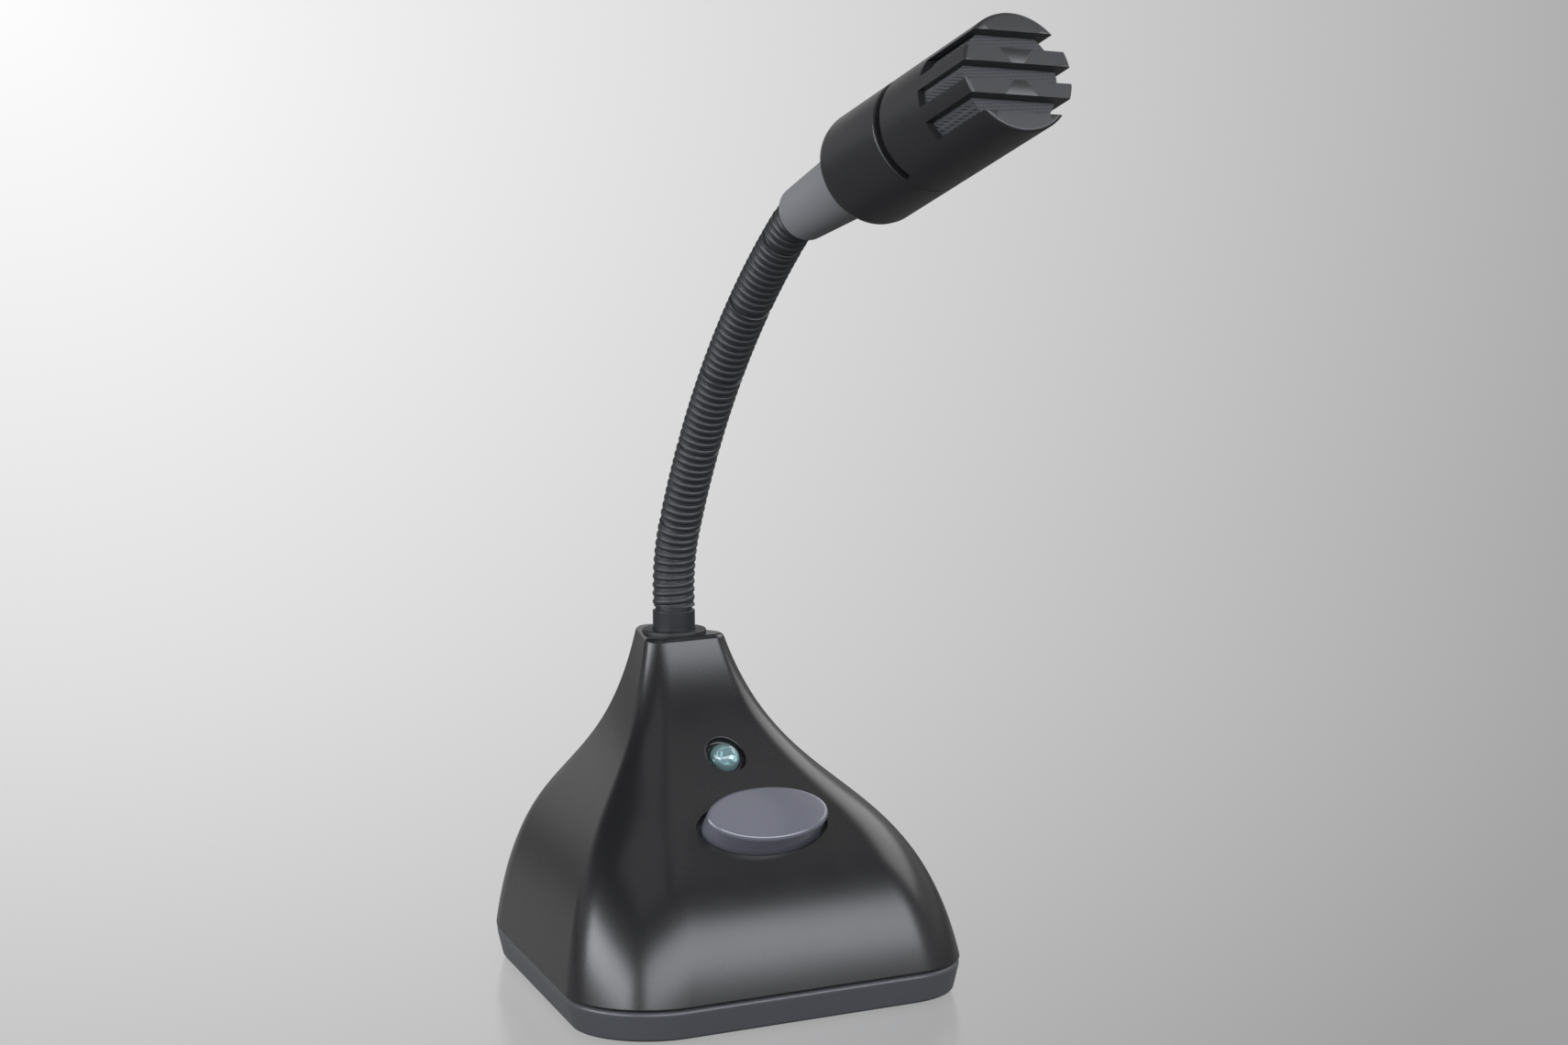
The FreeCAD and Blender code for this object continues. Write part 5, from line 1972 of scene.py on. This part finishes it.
        # Painted light: the sheet glows in its graded tone, more strongly for camera rays than for bounced
        # light.
        own_glow = add_node(tree, "MapRange", None, {
            "Value": path.outputs["Is Camera Ray"],
            "To Min": self.bounced_glow, "To Max": self.near_glow}).outputs[0]
        sheet = add_node(tree, "BsdfPrincipled", None, {
            "Base Color": linear("#88888a"), "Roughness": 0.22, "IOR": 1.4,
            "Emission Color": painted_light, "Emission Strength": own_glow})
        away = add_node(tree, "VectorMath", {"operation": "LENGTH"}, {0: place}).outputs["Value"]
        far = add_node(tree, "MapRange", {"interpolation_type": "SMOOTHSTEP"}, {
            "Value": away, "From Min": 0.12, "From Max": 0.7}).outputs[0]
        # Painted reflection: what glossy rays see of the sheet glows brighter from the floor up to 0.5 m,
        # and dims again above 1 m.
        height = add_node(tree, "SeparateXYZ", None, {0: place}).outputs["Z"]
        lift = add_node(tree, "MapRange", {"interpolation_type": "SMOOTHSTEP"}, {
            "Value": height, "From Min": 0.0, "From Max": 0.5,
            "To Min": self.mirrored_floor, "To Max": self.mirrored_glow}).outputs[0]
        sink = add_node(tree, "MapRange", {"interpolation_type": "SMOOTHSTEP"}, {
            "Value": height, "From Min": 1.0, "From Max": 1.8, "To Min": 1.0, "To Max": 0.15}).outputs[0]
        mirrored = add_node(tree, "Math", {"operation": "MULTIPLY"}, {0: lift, 1: sink}).outputs[0]
        mirrored = add_node(tree, "MapRange", None, {
            "Value": path.outputs["Is Glossy Ray"], "To Min": 1.0, "To Max": mirrored}).outputs[0]
        glow = add_node(tree, "Emission", None, {"Color": painted_light, "Strength": mirrored})
        seen = add_node(tree, "Math", {"operation": "MAXIMUM"}, {
            0: path.outputs["Is Camera Ray"], 1: path.outputs["Is Glossy Ray"]}).outputs[0]
        seen = add_node(tree, "Math", {"operation": "MAXIMUM"}, {
            0: seen, 1: path.outputs["Is Transmission Ray"]}).outputs[0]
        share = add_node(tree, "Math", {"operation": "MULTIPLY"}, {0: seen, 1: far}).outputs[0]
        mixed = add_node(tree, "MixShader", None, {0: share, 1: sheet.outputs[0], 2: glow.outputs[0]})
        add_node(tree, "OutputMaterial", None, {"Surface": mixed.outputs[0]})
        return made

    def backdrop_painted_light(self, tree: bpy.types.NodeTree, place: bpy.types.NodeSocket) -> bpy.types.NodeSocket:
        """Painted light of the sheet: white in one direction from the camera's stand, falling to mid grey.

        Args:
            tree: The material's tree.
            place: The point on the sheet.

        Returns:
            The colour of the painted light.
        """
        sight = add_node(tree, "VectorMath", {"operation": "SUBTRACT"}, {0: place, 1: tuple(self.stand)})
        sight = add_node(tree, "VectorMath", {"operation": "NORMALIZE"}, {0: sight.outputs[0]})
        apart = add_node(tree, "VectorMath", {"operation": "DISTANCE"}, {
            0: sight.outputs[0], 1: tuple(self.bright_way())}).outputs["Value"]
        fall = add_node(tree, "MapRange", None, {"Value": apart, "From Max": self.fall}).outputs[0]
        painted_light = add_node(tree, "Mix", {"data_type": "RGBA"}, {
            0: fall, 6: linear("#fdfdfd"), 7: linear("#a2a2a3")}).outputs[2]
        behind = add_node(tree, "MapRange", {"interpolation_type": "SMOOTHSTEP"}, {
            "Value": apart, "From Min": self.fall, "From Max": 1.2}).outputs[0]
        return add_node(tree, "Mix", {"data_type": "RGBA"}, {
            0: behind, 6: painted_light, 7: linear("#c4c4c5")}).outputs[2]

    def axes(self) -> tuple[Vector, Vector, Vector]:
        """The camera's directions: right, up and back.

        Returns:
            The three directions.
        """
        around, tilt, roll = (math.radians(a) for a in (self.azimuth, self.pitch, self.roll))
        level = Vector((math.sin(around), -math.cos(around), 0))
        right = Vector((math.cos(around), math.sin(around), 0))
        back = level * math.cos(tilt) + Z_AXIS * math.sin(tilt)
        up = back.cross(right)
        across = right * math.cos(roll) + up * math.sin(roll)
        return across, up * math.cos(roll) - right * math.sin(roll), back

    def bright_way(self) -> Vector:
        """Direction from the camera's stand to the brightest part of the backdrop."""
        across, upward, back = self.axes()
        return (upward * self.bright_up - across * self.bright_left - back).normalized()


def dress_kept_nodes(nodes: dict[str, bpy.types.Object]) -> None:
    """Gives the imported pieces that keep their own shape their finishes.

    Args:
        nodes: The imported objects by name.
    """
    for name, finish in KEPT_NODES.items():
        mesh = nodes[name].data
        mesh.materials.clear()
        mesh.materials.append(finish.material())
        LOG.info("%s: kept, %s", name, finish.name)


def main() -> None:
    logging.basicConfig(level=logging.INFO, format="%(message)s")
    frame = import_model()
    low, high = corners_of("upper_shell")
    Base(BellForm(low.z, high.z)).build()
    line = NeckLine(high.z)
    bends = [joint for joint in frame["joints"] if joint["type"] == "hinge"]
    neck = Neck(line, [bends[0]["parent"]] + [joint["child"] for joint in bends])
    neck.build()
    for k, joint in enumerate(bends):
        gap = (Vector(joint["pos_m"]) / MM - line.at(neck.joint(k))[0]).length
        if gap > neck.fit:
            LOG.warning("%s is %.2f mm off the neck's line", joint["name"], gap)
    Head(head_frame(line, 5.0)).build()
    dress_kept_nodes(frame["nodes"])
    whole_low, whole_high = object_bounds()
    Studio((whole_low + whole_high) / 2).build()


if __name__ == "__main__":
    main()
